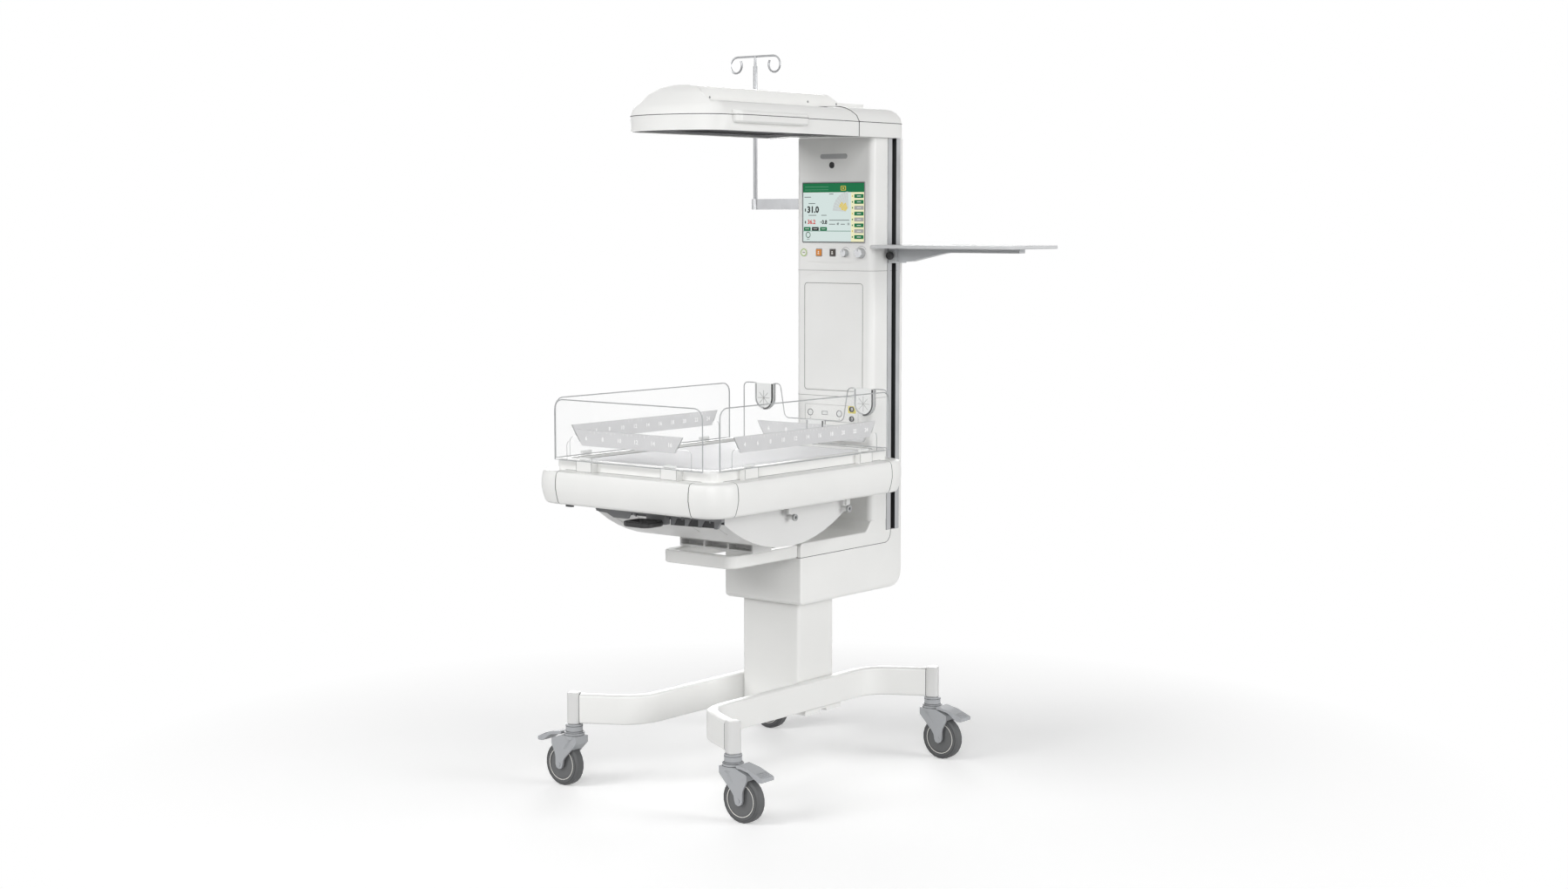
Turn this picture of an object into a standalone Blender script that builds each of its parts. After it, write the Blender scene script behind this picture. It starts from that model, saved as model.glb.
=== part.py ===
"""Infant radiant warmer: mobile base, lifting column, tilting bed, control tower and swivelling hood.

Metres, +Z up. The object is drawn with X = 0 on its middle plane, +Y towards its back and Z = 0 on the
floor, and one root empty then sets the origin under the middle of the whole box.
"""
import math

import bmesh
import bpy
from mathutils import Matrix, Vector

# Clearances
GAP = 0.0003
RUN = 0.0006
WELD = 0.00001
FLAT_ANGLE = 0.001
FULL_ROUND = 0.98

# Casters
STEM_X = 0.295
STEM_Y = 0.470
WHEEL_R = 0.0625
WHEEL_W = 0.032
WHEEL_SIDES = 24
HUB_R = 0.041
HUB_DISH = 0.003
TYRE_SHOULDER = 0.005
TRAIL = 0.038
AXLE_R = 0.006
FORK_CHEEK = 0.007
FORK_SIDE_PLAY = 0.0025
FORK_CROWN_Z = 0.150
FORK_CROWN_H = 0.020
FORK_FOOT_R = 0.0135
FORK_HEEL_R = 0.008
FORK_SWEEP_R = 0.030
FORK_TOE_R = 0.004
AXLE_NUB = 0.002
COLLAR_R = 0.029
COLLAR_NECK_R = 0.0245
COLLAR_STEP = 0.010
PEDAL_REACH = 0.1215
PEDAL_W = 0.050
PEDAL_BARREL_R = 0.0057
PEDAL_THICK = 0.011
PEDAL_FALL = 0.016
PEDAL_BEND_R = 0.010
PEDAL_BACK_R = 0.040
PEDAL_TIP_R = 0.003

# Legs and base
LEG_Z = 0.185
LEG_H = 0.085
LEG_T = 0.036
LEG_ROUND = 0.010
LEG_BEND_R = 0.110
LEG_SPLAY = math.radians(28.5)
CAP_L = 0.036
CAP_STEP = 0.0015
CAP_RISE = 0.004
CAP_DROP = 0.002
CROSS_BAR_D = 0.072
CROSS_BAR_PITCH = 0.102
CROSS_BAR_T = 0.008
BASE_PLATE_T = 0.005

# Column
COLUMN_W = 0.210
COLUMN_D = 0.170
COLUMN_Y = 0.141
COLUMN_WALL = 0.006
COLUMN_ROUND = 0.010
COLUMN_TOP = 0.620
COLUMN_PLAY = 0.002
INNER_Z = 0.235
HEAD_PLATE_T = 0.022

# Middle housing
HOUSING_W = 0.286
HOUSING_FRONT = 0.018
HOUSING_REAR = 0.520
HOUSING_Z = 0.502
HOUSING_SEAM = 0.642
HOUSING_TOP = 0.685
HOUSING_REAR_R = 0.050
HOUSING_EDGE = 0.008
HOUSING_R = 0.015
SEAM_RISE_Y = 0.460
SEAM_RISE_R = 0.030

# Bed support
ARM_W = 0.262
ARM_BAR = 0.024
ARM_H = 0.036
ARM_FRONT = -0.278
ARM_ROUND = 0.030
ARM_INSERT = 0.080
ARM_EDGE = 0.003
BRACKET_W = 0.272
BRACKET_D = 0.082
BRACKET_RIB = 0.006
BRACKET_BAYS = 3
BRACKET_POCKET = 0.032

# Tilting cradle
BED_Y = -0.149
TILT_Z = 1.187
CRADLE_R = 0.483
CRADLE_W = 0.464
CRADLE_L = 0.560
CRADLE_WALL = 0.004
PEG_R = 0.007
PEG_L = 0.026
PEG_Z = 0.787
REAR_PEG_Y = 0.250
FRAME_H = 0.026
FRAME_D = 0.012
GUSSET_L = 0.060
GUSSET_XS = (-0.190, -0.090, 0.090, 0.190)
LUG_W = 0.070
LUG_L = 0.018
LUG_H = 0.034
HANDLE_W = 0.100
HANDLE_L = 0.086
HANDLE_T = 0.014
HANDLE_BAR = 0.018
HANDLE_EDGE = 0.003
HANDLE_ROUND = 0.026

# Bed
BUMPER_W = 0.676
BUMPER_L = 0.884
BUMPER_Z = 0.827
BUMPER_H = 0.094
BUMPER_D = 0.048
BUMPER_R = 0.072
CORNER_L = 0.095
BUMPER_SEAM = 0.0015
BUMPER_TUCK = 0.014
BUMPER_LEAN = 0.006
BUMPER_EDGE = 0.012
RIM_TOP = 0.951
RIM_WALL = 0.024
RIM_ROUND = 0.006
TRAY_FLOOR = 0.885
MATTRESS_PLAY = 0.010
MATTRESS_H = 0.058
MATTRESS_CROWN = 0.010
MATTRESS_DRAW = 0.006
MATTRESS_EDGE = 0.010
CLIP_W = 0.056
CLIP_D = 0.020
CLIP_TOP = 0.950
CLIP_SIDE_PITCH = 0.516
CLIP_END_PITCH = 0.310

# Clear panels
PANEL_T = 0.005
PANEL_TOP = 1.118
PANEL_R = 0.028
SIDE_PANEL_X = 0.301
SIDE_PANEL_L = 0.760
END_PANEL_Y = 0.4135
END_PANEL_W = 0.540
FLAP_T = 0.002
FLAP_TOP = 1.005
FLAP_SIDE_L = 0.652
FLAP_END_W = 0.456
STRIP_T = 0.003
STRIP_Z = 0.994
STRIP_H = 0.044
STRIP_SIDE_L = 0.636
STRIP_END_W = 0.396
STRIP_SLANT = 0.026
STRIP_R = 0.007
REAR_LOW_H = 0.069
REAR_TAB_H = 0.101
REAR_TAB_X = 0.110
REAR_TAB_SLANT = 0.018
REAR_STRIP_W = 0.428
REAR_STRIP_RISE = 0.012
GROMMET_X = 0.188
GROMMET_R = 0.0345
GROMMET_DROP = 0.045
GROMMET_T = 0.012

# Tower
TOWER_W = 0.288
TOWER_FRONT = 0.360
TOWER_SHELL_REAR = 0.436
TOWER_R = 0.020
TOWER_Z = 0.714
TOWER_SEAM_LOW = 1.083
TOWER_TOP = 1.8547
HEAD_H = 0.3927
SPINE_W = 0.236
SPINE_COVER_D = 0.020
RAIL_Z = 0.680
RAIL_D = 0.062
RAIL_PROUD = 0.002
RAIL_SLOT = 0.022
RAIL_SLOT_DEEP = 0.016
RAIL_LIP = 0.005
RAIL_UNDERCUT = 0.007
RAIL_JOINT = 0.0008
DISPLAY_W = 0.235
DISPLAY_H = 0.180
DISPLAY_DROP = 0.2197
DISPLAY_T = 0.006
DISPLAY_PROUD = 0.001
LAMP_W = 0.100
LAMP_H = 0.014
LAMP_DROP = 0.0527
SENSOR_R = 0.0095
SENSOR_X = -0.007
SENSOR_DROP = 0.026
LAMP_DEEP = 0.004
DOOR_W = 0.220
DOOR_FOOT = 0.017
DOOR_HEAD = 0.038
DOOR_GROOVE = 0.002
PORTS_X0 = -0.107
PORTS_X1 = 0.094
PORTS_H = 0.050
PORTS_DROP = 0.027
PORTS_T = 0.004
PORT_R = 0.0105
PORT_XS = (-0.087, 0.023)
PORT_CORNER_R = 0.001
PROBE_R = 0.0085
PROBE_X = 0.071
PROBE_RISE = 0.016
PROBE_FALL = 0.013
SMILE_W = 0.210
SMILE_SAG = 0.012
SMILE_DEEP = 0.002
SMILE_DROP = 0.026
BROW_RISE = 0.022

# Controls
CONTROL_DROP = 0.030
BUTTON_EDGE = 0.001
ROUND_BUTTON_X = -0.111
ROUND_BUTTON_R = 0.0125
SQUARE_BUTTON_XS = (-0.055, -0.003)
SQUARE_BUTTON_W = 0.0195
BUTTON_DEEP = 0.006
BUTTON_PROUD = 0.003
BUTTON_TRAVEL = 0.002
KNOB_XS = (0.046, 0.104)
KNOB_RS = (0.0115, 0.0155)
KNOB_LENGTHS = (0.016, 0.020)
KNOB_SHAFT_R = 0.004
KNOB_SHAFT_L = 0.008

# Hood
HOOD_SHELL_H = 0.043
HOOD_W = 0.332
HOOD_TIP = -0.432
HOOD_NOSE = 0.100
HOOD_REAR = 0.497
HOOD_REAR_R = 0.030
HOOD_WALL = 0.005
HOOD_CREASE_H = 0.037
HOOD_RIDGE_W = 0.130
HOOD_RIDGE_R = 0.045
HOOD_SHOULDER_Y = -0.360
HOOD_COVER_REAR = 0.3425
# Inset, inset of the nose and rise above the seam, level by level up the dome
HOOD_DOME = (
    (0.000, 0.000, 0.000),
    (0.005, 0.006, 0.017),
    (0.016, 0.018, 0.030),
    (0.030, 0.030, 0.039),
    (0.052, 0.050, 0.059),
    (0.078, 0.070, 0.071),
    (0.100, 0.084, 0.078),
    (0.136, 0.094, 0.083),
)
SWIVEL_Y = 0.400
SWIVEL_SIDE_Y = 0.263
PIVOT_LEVELS = 4
PIVOT_EDGE = 0.012
PIVOT_STEP = 0.005
TONGUE_INSET = 0.001
TONGUE_T = 0.015
PIVOT_PIN_R = 0.012
PIVOT_PIN_L = 0.036
HOOD_HANDLE_Y0 = -0.312
HOOD_HANDLE_Y1 = 0.010
HOOD_HANDLE_RISE = 0.021
HOOD_HANDLE_H = 0.034
HOOD_HANDLE_D = 0.022
HOOD_HANDLE_EDGE = 0.005
HOOD_BASE_T = 0.003
HOOD_BASE_RISE = 0.0025
WINDOW_W = 0.150
WINDOW_Y0 = -0.300
WINDOW_Y1 = 0.080
GUARD_T = 0.0025
GUARD_BAR = 0.004
GUARD_SLOTS = 15
REFLECTOR_H = 0.036
REFLECTOR_TOP_W = 0.090
REFLECTOR_T = 0.0015
ROD_R = 0.0055
ROD_PITCH = 0.050
ROD_RISE = 0.023

# Pole
POLE_REACH = 0.244
POLE_R = 0.0065
POLE_BORE_R = 0.0045
BAR_DROP = 0.1767
BAR_H = 0.033
BAR_T = 0.010
POLE_SOCKET_R = 0.012
POLE_CLAMP_H = 0.078
CLAMP_T = 0.008
HOOK_RISE = 0.265
HOOK_SHOW = 0.030
HOOK_WIRE_R = 0.0032
HOOK_ROD_L = 0.360
HOOK_ROD_R = 0.0040
HOOK_HALF = 0.072
HOOK_LOOP_R = 0.025

# Shelf
SHELF_REACH = 0.499
SHELF_D = 0.270
SHELF_T = 0.010
SHELF_DROP = 0.3157
SHELF_R = 0.020
SHELF_EDGE = 0.002
SHELF_CLAMP_T = 0.026
SHELF_CLAMP_H = 0.044
SHELF_CLAMP_D = 0.056
SHELF_ARM_T = 0.030
SHELF_ARM_SHORT = 0.045
SHELF_ARM_TIP = 0.012
SHELF_ARM_BEND_R = 0.060
SHELF_ARM_SWEEP_R = 0.200
CLAMP_KNOB_R = 0.012
CLAMP_KNOB_L = 0.018
CLAMP_SCREW_R = 0.004
CLAMP_SCREW_L = 0.010

# Places that follow from the sizes above
RAIL_Y = TOWER_SHELL_REAR + GAP + RAIL_D / 2
RAIL_FACE_X = TOWER_W / 2 + RAIL_PROUD
ARM_Z = HOUSING_SEAM + GAP
ARM_TOP = ARM_Z + ARM_H
RIM_X = BUMPER_W / 2 - BUMPER_D
RIM_HALF_L = BUMPER_L / 2 - BUMPER_D
BUMPER_TOP = BUMPER_Z + BUMPER_H
PANEL_Z = CLIP_TOP + GAP
REAR_LOW_Z = PANEL_Z + REAR_LOW_H
REAR_TAB_TOP = REAR_LOW_Z + REAR_TAB_H
GROMMET_Z = REAR_TAB_TOP - GROMMET_DROP
TOWER_SEAM_HIGH = TOWER_TOP - HEAD_H
DOOR_Z0 = TOWER_SEAM_LOW + DOOR_FOOT
DOOR_Z1 = TOWER_SEAM_HIGH - DOOR_HEAD
BROW_Z = DOOR_Z1 + BROW_RISE
PORTS_Z1 = TOWER_SEAM_LOW - PORTS_DROP
PORTS_Z0 = PORTS_Z1 - PORTS_H
PORT_Z = (PORTS_Z0 + PORTS_Z1) / 2
PROBE_ZS = (PORT_Z + PROBE_RISE, PORT_Z - PROBE_FALL)
DISPLAY_Z = TOWER_TOP - DISPLAY_DROP
LAMP_Z = TOWER_TOP - LAMP_DROP
SENSOR_Z = LAMP_Z - SENSOR_DROP
CONTROL_Z = DISPLAY_Z - DISPLAY_H / 2 - CONTROL_DROP
SMILE_Z = CONTROL_Z - SMILE_DROP
HOOD_Z = TOWER_TOP + GAP
HOOD_SEAM = HOOD_Z + HOOD_SHELL_H
HOOD_CREASE_Z = HOOD_SEAM + HOOD_CREASE_H
HOOD_RIDGE_Z = HOOD_SEAM + HOOD_DOME[-1][-1]
PIVOT_TOP = HOOD_CREASE_Z + PIVOT_STEP
HOOD_HANDLE_Z0 = HOOD_Z + HOOD_HANDLE_RISE
HOOD_HANDLE_Z1 = HOOD_HANDLE_Z0 + HOOD_HANDLE_H
ROD_Z = HOOD_Z + ROD_RISE
POLE_X = RAIL_FACE_X + POLE_REACH
BAR_Z1 = TOWER_TOP - BAR_DROP
BAR_Z0 = BAR_Z1 - BAR_H
POLE_CLAMP_Z0 = BAR_Z1 - POLE_CLAMP_H
HOOK_Z = HOOD_Z + HOOK_RISE
POLE_TOP = HOOK_Z - HOOK_SHOW
HOOK_ROD_Z = HOOK_Z - HOOK_ROD_L
SHELF_X1 = RAIL_FACE_X + SHELF_REACH
SHELF_TOP = TOWER_TOP - SHELF_DROP
SHELF_ARM_X1 = SHELF_X1 - SHELF_ARM_SHORT
SWIVEL_R = math.hypot(HOOD_W / 2, SWIVEL_Y - SWIVEL_SIDE_Y)
CRADLE_FRONT = BED_Y - CRADLE_L / 2
HANDLE_AXIS = Vector((0.0, CRADLE_FRONT - LUG_L - HANDLE_T / 2, BUMPER_Z - LUG_H - HANDLE_T / 2))
LEFT_END = -(POLE_X + HOOK_HALF + HOOK_LOOP_R + HOOK_WIRE_R)
FRONT_END = BED_Y - BUMPER_L / 2
REAR_END = RAIL_Y + SHELF_D / 2
ORIGIN = Vector(((LEFT_END + SHELF_X1) / 2, (FRONT_END + REAR_END) / 2, 0.0))

for old in list(bpy.data.objects):
    bpy.data.objects.remove(old, do_unlink=True)


def new_collection(name):
    """A collection linked to the scene."""
    collection = bpy.data.collections.new(name)
    bpy.context.scene.collection.children.link(collection)
    return collection


PARTS = new_collection("infant_radiant_warmer")
CUTTERS = new_collection("cutters")


def finish(name, colour, roughness, metallic=0.0, alpha=1.0):
    """A Principled material."""
    material = bpy.data.materials.new(name)
    material.use_nodes = True
    shader = material.node_tree.nodes["Principled BSDF"]
    shader.inputs["Base Color"].default_value = (*colour, 1.0)
    shader.inputs["Roughness"].default_value = roughness
    shader.inputs["Metallic"].default_value = metallic
    shader.inputs["Alpha"].default_value = alpha
    return material


WHITE = finish("white_moulding", (0.86, 0.86, 0.85), 0.45)
PAINT = finish("white_powder_coat", (0.84, 0.84, 0.83), 0.5)
FORK_GREY = finish("grey_moulding", (0.33, 0.34, 0.35), 0.5)
TYRE_GREY = finish("grey_tyre", (0.09, 0.09, 0.09), 0.7)
BLACK = finish("black_moulding", (0.02, 0.02, 0.02), 0.45)
DARK = finish("dark_base_panel", (0.10, 0.10, 0.11), 0.6)
ALLOY = finish("anodised_alloy", (0.62, 0.62, 0.63), 0.35, 1.0)
STEEL = finish("bright_steel", (0.70, 0.70, 0.71), 0.25, 1.0)
REFLECTOR = finish("polished_reflector", (0.80, 0.80, 0.80), 0.12, 1.0)
CLEAR = finish("clear_acrylic", (0.92, 0.95, 0.95), 0.05, 0.0, 0.25)
SILICONE = finish("white_silicone", (0.80, 0.80, 0.79), 0.6)
FOAM = finish("mattress_cover", (0.88, 0.88, 0.88), 0.7)
SCREEN = finish("display_glass", (0.70, 0.85, 0.80), 0.2)
LAMP = finish("lamp_lens", (0.55, 0.55, 0.55), 0.3)
GREEN = finish("green_ring_button", (0.78, 0.84, 0.72), 0.4)
ORANGE = finish("orange_button", (0.78, 0.30, 0.05), 0.4)
SILVER = finish("silver_knob", (0.65, 0.65, 0.66), 0.3, 0.6)


def empty(name, place, parent, turn=0.0):
    """An empty on a joint's axis, given in its parent's frame."""
    joint = bpy.data.objects.new(name, None)
    joint.empty_display_size = 0.05
    joint.location = place
    joint.rotation_euler = (0.0, 0.0, turn)
    joint.parent = parent
    PARTS.objects.link(joint)
    return joint


ROOT = empty("row_origin", -ORIGIN, None)


class Body:
    """A moving body: an empty on its axis, and the design-frame point where that empty stands."""

    def __init__(self, name, pivot, carrier=None):
        self.pivot = Vector(pivot)
        start = carrier.pivot if carrier else Vector((0.0, 0.0, 0.0))
        parent = carrier.joint if carrier else ROOT
        self.joint = empty(name + "_axis", self.pivot - start, parent)

    def take(self, piece, collection):
        """Hang a piece drawn in the design frame on this body."""
        for linked in list(piece.users_collection):
            linked.objects.unlink(piece)
        collection.objects.link(piece)
        piece.parent = self.joint
        piece.location = piece.location - self.pivot


def add(piece, body, material):
    """Finish a sub-part: its body, collection, material and smooth shading."""
    body.take(piece, PARTS)
    piece.data.materials.clear()
    piece.data.materials.append(material)
    if piece.type == "MESH":
        piece.data.shade_smooth()
        piece.data.set_sharp_from_angle(angle=math.radians(35))
    return piece


def boolean(piece, tool, body, operation):
    """A Boolean modifier whose tool stays in the cutters' collection."""
    body.take(tool, CUTTERS)
    tool.hide_render = True
    tool.display_type = "WIRE"
    modifier = piece.modifiers.new(operation.lower(), "BOOLEAN")
    modifier.operation = operation
    modifier.object = tool
    modifier.solver = "EXACT"


def cut(piece, tool, body):
    boolean(piece, tool, body, "DIFFERENCE")


def fuse(piece, tool, body):
    boolean(piece, tool, body, "UNION")


def keep_inside(piece, tool, body):
    boolean(piece, tool, body, "INTERSECT")


def soften(piece, width, segments=2, angle=40.0):
    """Round the edges that turn by more than an angle."""
    modifier = piece.modifiers.new("soften", "BEVEL")
    modifier.width = width
    modifier.segments = segments
    modifier.limit_method = "ANGLE"
    modifier.angle_limit = math.radians(angle)
    modifier.harden_normals = False


def from_bmesh(name, bm):
    """An object of a bmesh, with its faces pointing out."""
    bmesh.ops.recalc_face_normals(bm, faces=bm.faces)
    mesh = bpy.data.meshes.new(name)
    bm.to_mesh(mesh)
    bm.free()
    return bpy.data.objects.new(name, mesh)


def block(name, low, high):
    """A box between two corners."""
    bm = bmesh.new()
    bmesh.ops.create_cube(bm, size=1.0)
    low = Vector(low)
    high = Vector(high)
    bmesh.ops.scale(bm, vec=high - low, verts=bm.verts)
    bmesh.ops.translate(bm, vec=(high + low) / 2, verts=bm.verts)
    return from_bmesh(name, bm)


AXIS_TURN = {
    "X": Matrix.Rotation(math.radians(90), 4, "Y"),
    "Y": Matrix.Rotation(math.radians(-90), 4, "X"),
    "Z": Matrix.Identity(4),
}


def rod(name, start, length, radius, axis="Z", sides=24):
    """A cylinder from a start point along an axis."""
    bm = bmesh.new()
    bmesh.ops.create_cone(bm, cap_ends=True, segments=sides, radius1=radius, radius2=radius, depth=length)
    shift = Matrix.Translation((0.0, 0.0, length / 2))
    bm.transform(Matrix.Translation(Vector(start)) @ AXIS_TURN[axis] @ shift)
    return from_bmesh(name, bm)


def rounded(corners, steps=4):
    """A closed outline through (a, b, radius) corners, with an arc at each corner that has a radius."""
    outline = []
    for index, (a, b, radius) in enumerate(corners):
        corner = Vector((a, b))
        if radius <= 0.0:
            outline.append(corner)
            continue
        to_last = (Vector(corners[index - 1][:2]) - corner).normalized()
        to_next = (Vector(corners[(index + 1) % len(corners)][:2]) - corner).normalized()
        half = to_last.angle(to_next) / 2
        centre = corner + (to_last + to_next).normalized() * radius / math.sin(half)
        start = corner + to_last * radius / math.tan(half) - centre
        sweep = math.pi - 2 * half
        if to_last.x * to_next.y - to_last.y * to_next.x > 0:
            sweep = -sweep
        for step in range(steps + 1):
            outline.append(centre + Matrix.Rotation(sweep * step / steps, 2) @ start)
    return outline


def rectangle(a0, a1, b0, b1, radius, steps=4):
    """A rounded rectangle."""
    return rounded([(a0, b0, radius), (a1, b0, radius), (a1, b1, radius), (a0, b1, radius)], steps)


def circle(a, b, radius, sides=24):
    """A round outline."""
    turns = [2 * math.pi * side / sides for side in range(sides)]
    return [Vector((a + radius * math.cos(turn), b + radius * math.sin(turn))) for turn in turns]


PLANES = {
    "XY": Matrix(((1, 0, 0, 0), (0, 1, 0, 0), (0, 0, 1, 0), (0, 0, 0, 1))),
    "XZ": Matrix(((1, 0, 0, 0), (0, 0, -1, 0), (0, 1, 0, 0), (0, 0, 0, 1))),
    "YZ": Matrix(((0, 0, 1, 0), (1, 0, 0, 0), (0, 1, 0, 0), (0, 0, 0, 1))),
}


def as_mesh(piece):
    """A curve object made a mesh object, with its caps welded and its flat faces whole."""
    bpy.context.scene.collection.objects.link(piece)
    graph = bpy.context.evaluated_depsgraph_get()
    mesh = bpy.data.meshes.new_from_object(piece.evaluated_get(graph))
    bm = bmesh.new()
    bm.from_mesh(mesh)
    bm.transform(piece.matrix_world)
    bmesh.ops.remove_doubles(bm, verts=bm.verts, dist=WELD)
    bmesh.ops.dissolve_limit(bm, angle_limit=FLAT_ANGLE, verts=bm.verts, edges=bm.edges)
    name = piece.name
    curve = piece.data
    bpy.data.objects.remove(piece, do_unlink=True)
    bpy.data.curves.remove(curve)
    bpy.data.meshes.remove(mesh)
    return from_bmesh(name, bm)


def plate(name, outlines, plane, low, high):
    """Flat outlines in a plane, the inner ones being holes, extruded from low to high across it."""
    curve = bpy.data.curves.new(name, "CURVE")
    curve.dimensions = "2D"
    curve.fill_mode = "BOTH"
    curve.extrude = (high - low) / 2
    for outline in outlines:
        spline = curve.splines.new("POLY")
        spline.points.add(len(outline[1:]))
        for point, (a, b) in zip(spline.points, outline):
            point.co = (a, b, 0.0, 1.0)
        spline.use_cyclic_u = True
    piece = bpy.data.objects.new(name, curve)
    middle = (low + high) / 2
    across = -middle if plane == "XZ" else middle
    piece.matrix_world = PLANES[plane] @ Matrix.Translation((0.0, 0.0, across))
    return as_mesh(piece)


def wire(name, points, radius, resolution=2):
    """A round bar along a list of points."""
    curve = bpy.data.curves.new(name, "CURVE")
    curve.dimensions = "3D"
    curve.bevel_depth = radius
    curve.bevel_resolution = resolution
    curve.use_fill_caps = True
    spline = curve.splines.new("POLY")
    spline.points.add(len(points[1:]))
    for point, place in zip(spline.points, points):
        point.co = (*place, 1.0)
    return as_mesh(bpy.data.objects.new(name, curve))


def turned(name, profile, sides, matrix):
    """A profile of (radius, height) points that runs down its outer side, turned about Z."""
    bm = bmesh.new()
    verts = [bm.verts.new((radius, 0.0, height)) for radius, height in profile]
    for first, second in zip(verts, verts[1:]):
        bm.edges.new((first, second))
    mesh = bpy.data.meshes.new(name)
    bm.to_mesh(mesh)
    bm.free()
    piece = bpy.data.objects.new(name, mesh)
    modifier = piece.modifiers.new("turn", "SCREW")
    modifier.steps = sides
    modifier.render_steps = sides
    modifier.use_merge_vertices = True
    modifier.merge_threshold = WELD
    return baked(piece, matrix)


def baked(piece, matrix=None):
    """The object with its modifiers applied and a matrix put into its mesh."""
    bpy.context.scene.collection.objects.link(piece)
    graph = bpy.context.evaluated_depsgraph_get()
    mesh = bpy.data.meshes.new_from_object(piece.evaluated_get(graph))
    bm = bmesh.new()
    bm.from_mesh(mesh)
    if matrix:
        bm.transform(matrix)
    name = piece.name
    bpy.data.objects.remove(piece, do_unlink=True)
    return from_bmesh(name, bm)


def group(name, pieces):
    """Several closed bodies in one object."""
    bm = bmesh.new()
    for piece in pieces:
        bm.from_mesh(piece.data)
        bpy.data.objects.remove(piece, do_unlink=True)
    mesh = bpy.data.meshes.new(name)
    bm.to_mesh(mesh)
    bm.free()
    return bpy.data.objects.new(name, mesh)


def loft(name, rings, endless=False):
    """A solid through rings of as many points each, with flat ends or joined end to end."""
    bm = bmesh.new()
    loops = [[bm.verts.new(point) for point in ring] for ring in rings]
    following = loops[1:] + loops[:1] if endless else loops[1:]
    for first, second in zip(loops, following):
        for index in range(len(first)):
            after = (index + 1) % len(first)
            bm.faces.new((first[index], first[after], second[after], second[index]))
    if not endless:
        bm.faces.new(list(reversed(loops[0])))
        bm.faces.new(loops[-1])
    return from_bmesh(name, bm)


def mirrored(points):
    """Points mirrored in the middle plane, in the order that keeps their outline's direction."""
    return [Vector((-point[0], *point[1:])) for point in reversed(points)]


# Bodies
BASE = Body("base", (0.0, 0.0, 0.0))
LIFT = Body("lift", (0.0, COLUMN_Y, HOUSING_Z), BASE)
BED = Body("bed", (0.0, BED_Y, TILT_Z), LIFT)
HOOD = Body("hood", (0.0, SWIVEL_Y, HOOD_Z), LIFT)


def build_base():
    """Two bent legs against the sides of the column, capped over the casters, and the plate below."""
    inner = COLUMN_W / 2 + GAP
    middle = inner + LEG_T / 2
    knee_y = STEM_Y - (STEM_X - middle) * math.tan(LEG_SPLAY)
    heading = Vector((math.cos(LEG_SPLAY), math.sin(LEG_SPLAY)))
    end = Vector((STEM_X, STEM_Y)) - heading * CAP_L / 4
    aside = Vector((heading.y, -heading.x)) * LEG_T / 2
    # The knee of each face lies where the straight face meets the splayed one
    shift = LEG_T / 2 * math.tan((math.pi / 2 - LEG_SPLAY) / 2)
    outer_knee = (middle + LEG_T / 2, knee_y - shift, LEG_BEND_R - LEG_T / 2)
    inner_knee = (middle - LEG_T / 2, knee_y + shift, LEG_BEND_R + LEG_T / 2)
    outer_end = (*(end + aside), 0.0)
    inner_end = (*(end - aside), 0.0)
    back = [outer_knee, outer_end, inner_end, inner_knee]
    front = [(x, -y, radius) for x, y, radius in reversed(back)]
    outline = rounded(back + front, 4)
    across = LEG_T / 2 + CAP_STEP
    cap = rectangle(-CAP_L / 2, CAP_L / 2, -across, across, LEG_ROUND, 3)
    for name, side_x, plan in (("left_leg", -1, mirrored(outline)), ("right_leg", 1, outline)):
        leg = plate(name, [plan], "XY", LEG_Z, LEG_Z + LEG_H)
        soften(leg, LEG_ROUND, 2)
        add(leg, BASE, PAINT)
        caps = []
        for side_y in (1, -1):
            post = plate("cap", [cap], "XY", LEG_Z - CAP_DROP, LEG_Z + LEG_H + CAP_RISE)
            soften(post, CAP_STEP * 2, 1)
            turn = math.atan2(side_y * heading.y, side_x * heading.x)
            place = Matrix.Translation((side_x * STEM_X, side_y * STEM_Y, 0.0))
            caps.append(baked(post, place @ Matrix.Rotation(turn, 4, "Z")))
        fuse(leg, group(name + "_caps", caps), BASE)

    plate_top = LEG_Z - GAP
    reach = middle + LEG_T / 4
    base = block("base_plate", (-reach, COLUMN_Y - COLUMN_D / 2, plate_top - BASE_PLATE_T),
                 (reach, COLUMN_Y + COLUMN_D / 2, plate_top))
    add(base, BASE, PAINT)
    bars = []
    for side in (-1, 1):
        bar_y = COLUMN_Y + side * CROSS_BAR_PITCH / 2
        low = (-reach, bar_y - CROSS_BAR_D / 2, plate_top - BASE_PLATE_T - CROSS_BAR_T)
        high = (reach, bar_y + CROSS_BAR_D / 2, plate_top - BASE_PLATE_T / 2)
        bars.append(block("cross_bar", low, high))
    fuse(base, group("cross_bars", bars), BASE)


def build_column():
    """A fixed outer tube that stands on the base plate, and the inner tube that lifts the housing."""
    x = COLUMN_W / 2
    y0 = COLUMN_Y - COLUMN_D / 2
    y1 = COLUMN_Y + COLUMN_D / 2
    outer = rectangle(-x, x, y0, y1, COLUMN_ROUND)
    wall = COLUMN_WALL
    bore = rectangle(-x + wall, x - wall, y0 + wall, y1 - wall, COLUMN_ROUND - wall / 2)
    add(plate("column_outer", [outer, bore], "XY", LEG_Z, COLUMN_TOP), BASE, PAINT)

    inset = wall + COLUMN_PLAY
    section = rectangle(-x + inset, x - inset, y0 + inset, y1 - inset, COLUMN_ROUND - wall / 2)
    inner = plate("column_inner", [section], "XY", INNER_Z, HOUSING_SEAM + GAP + HEAD_PLATE_T)
    add(inner, LIFT, ALLOY)


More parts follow.
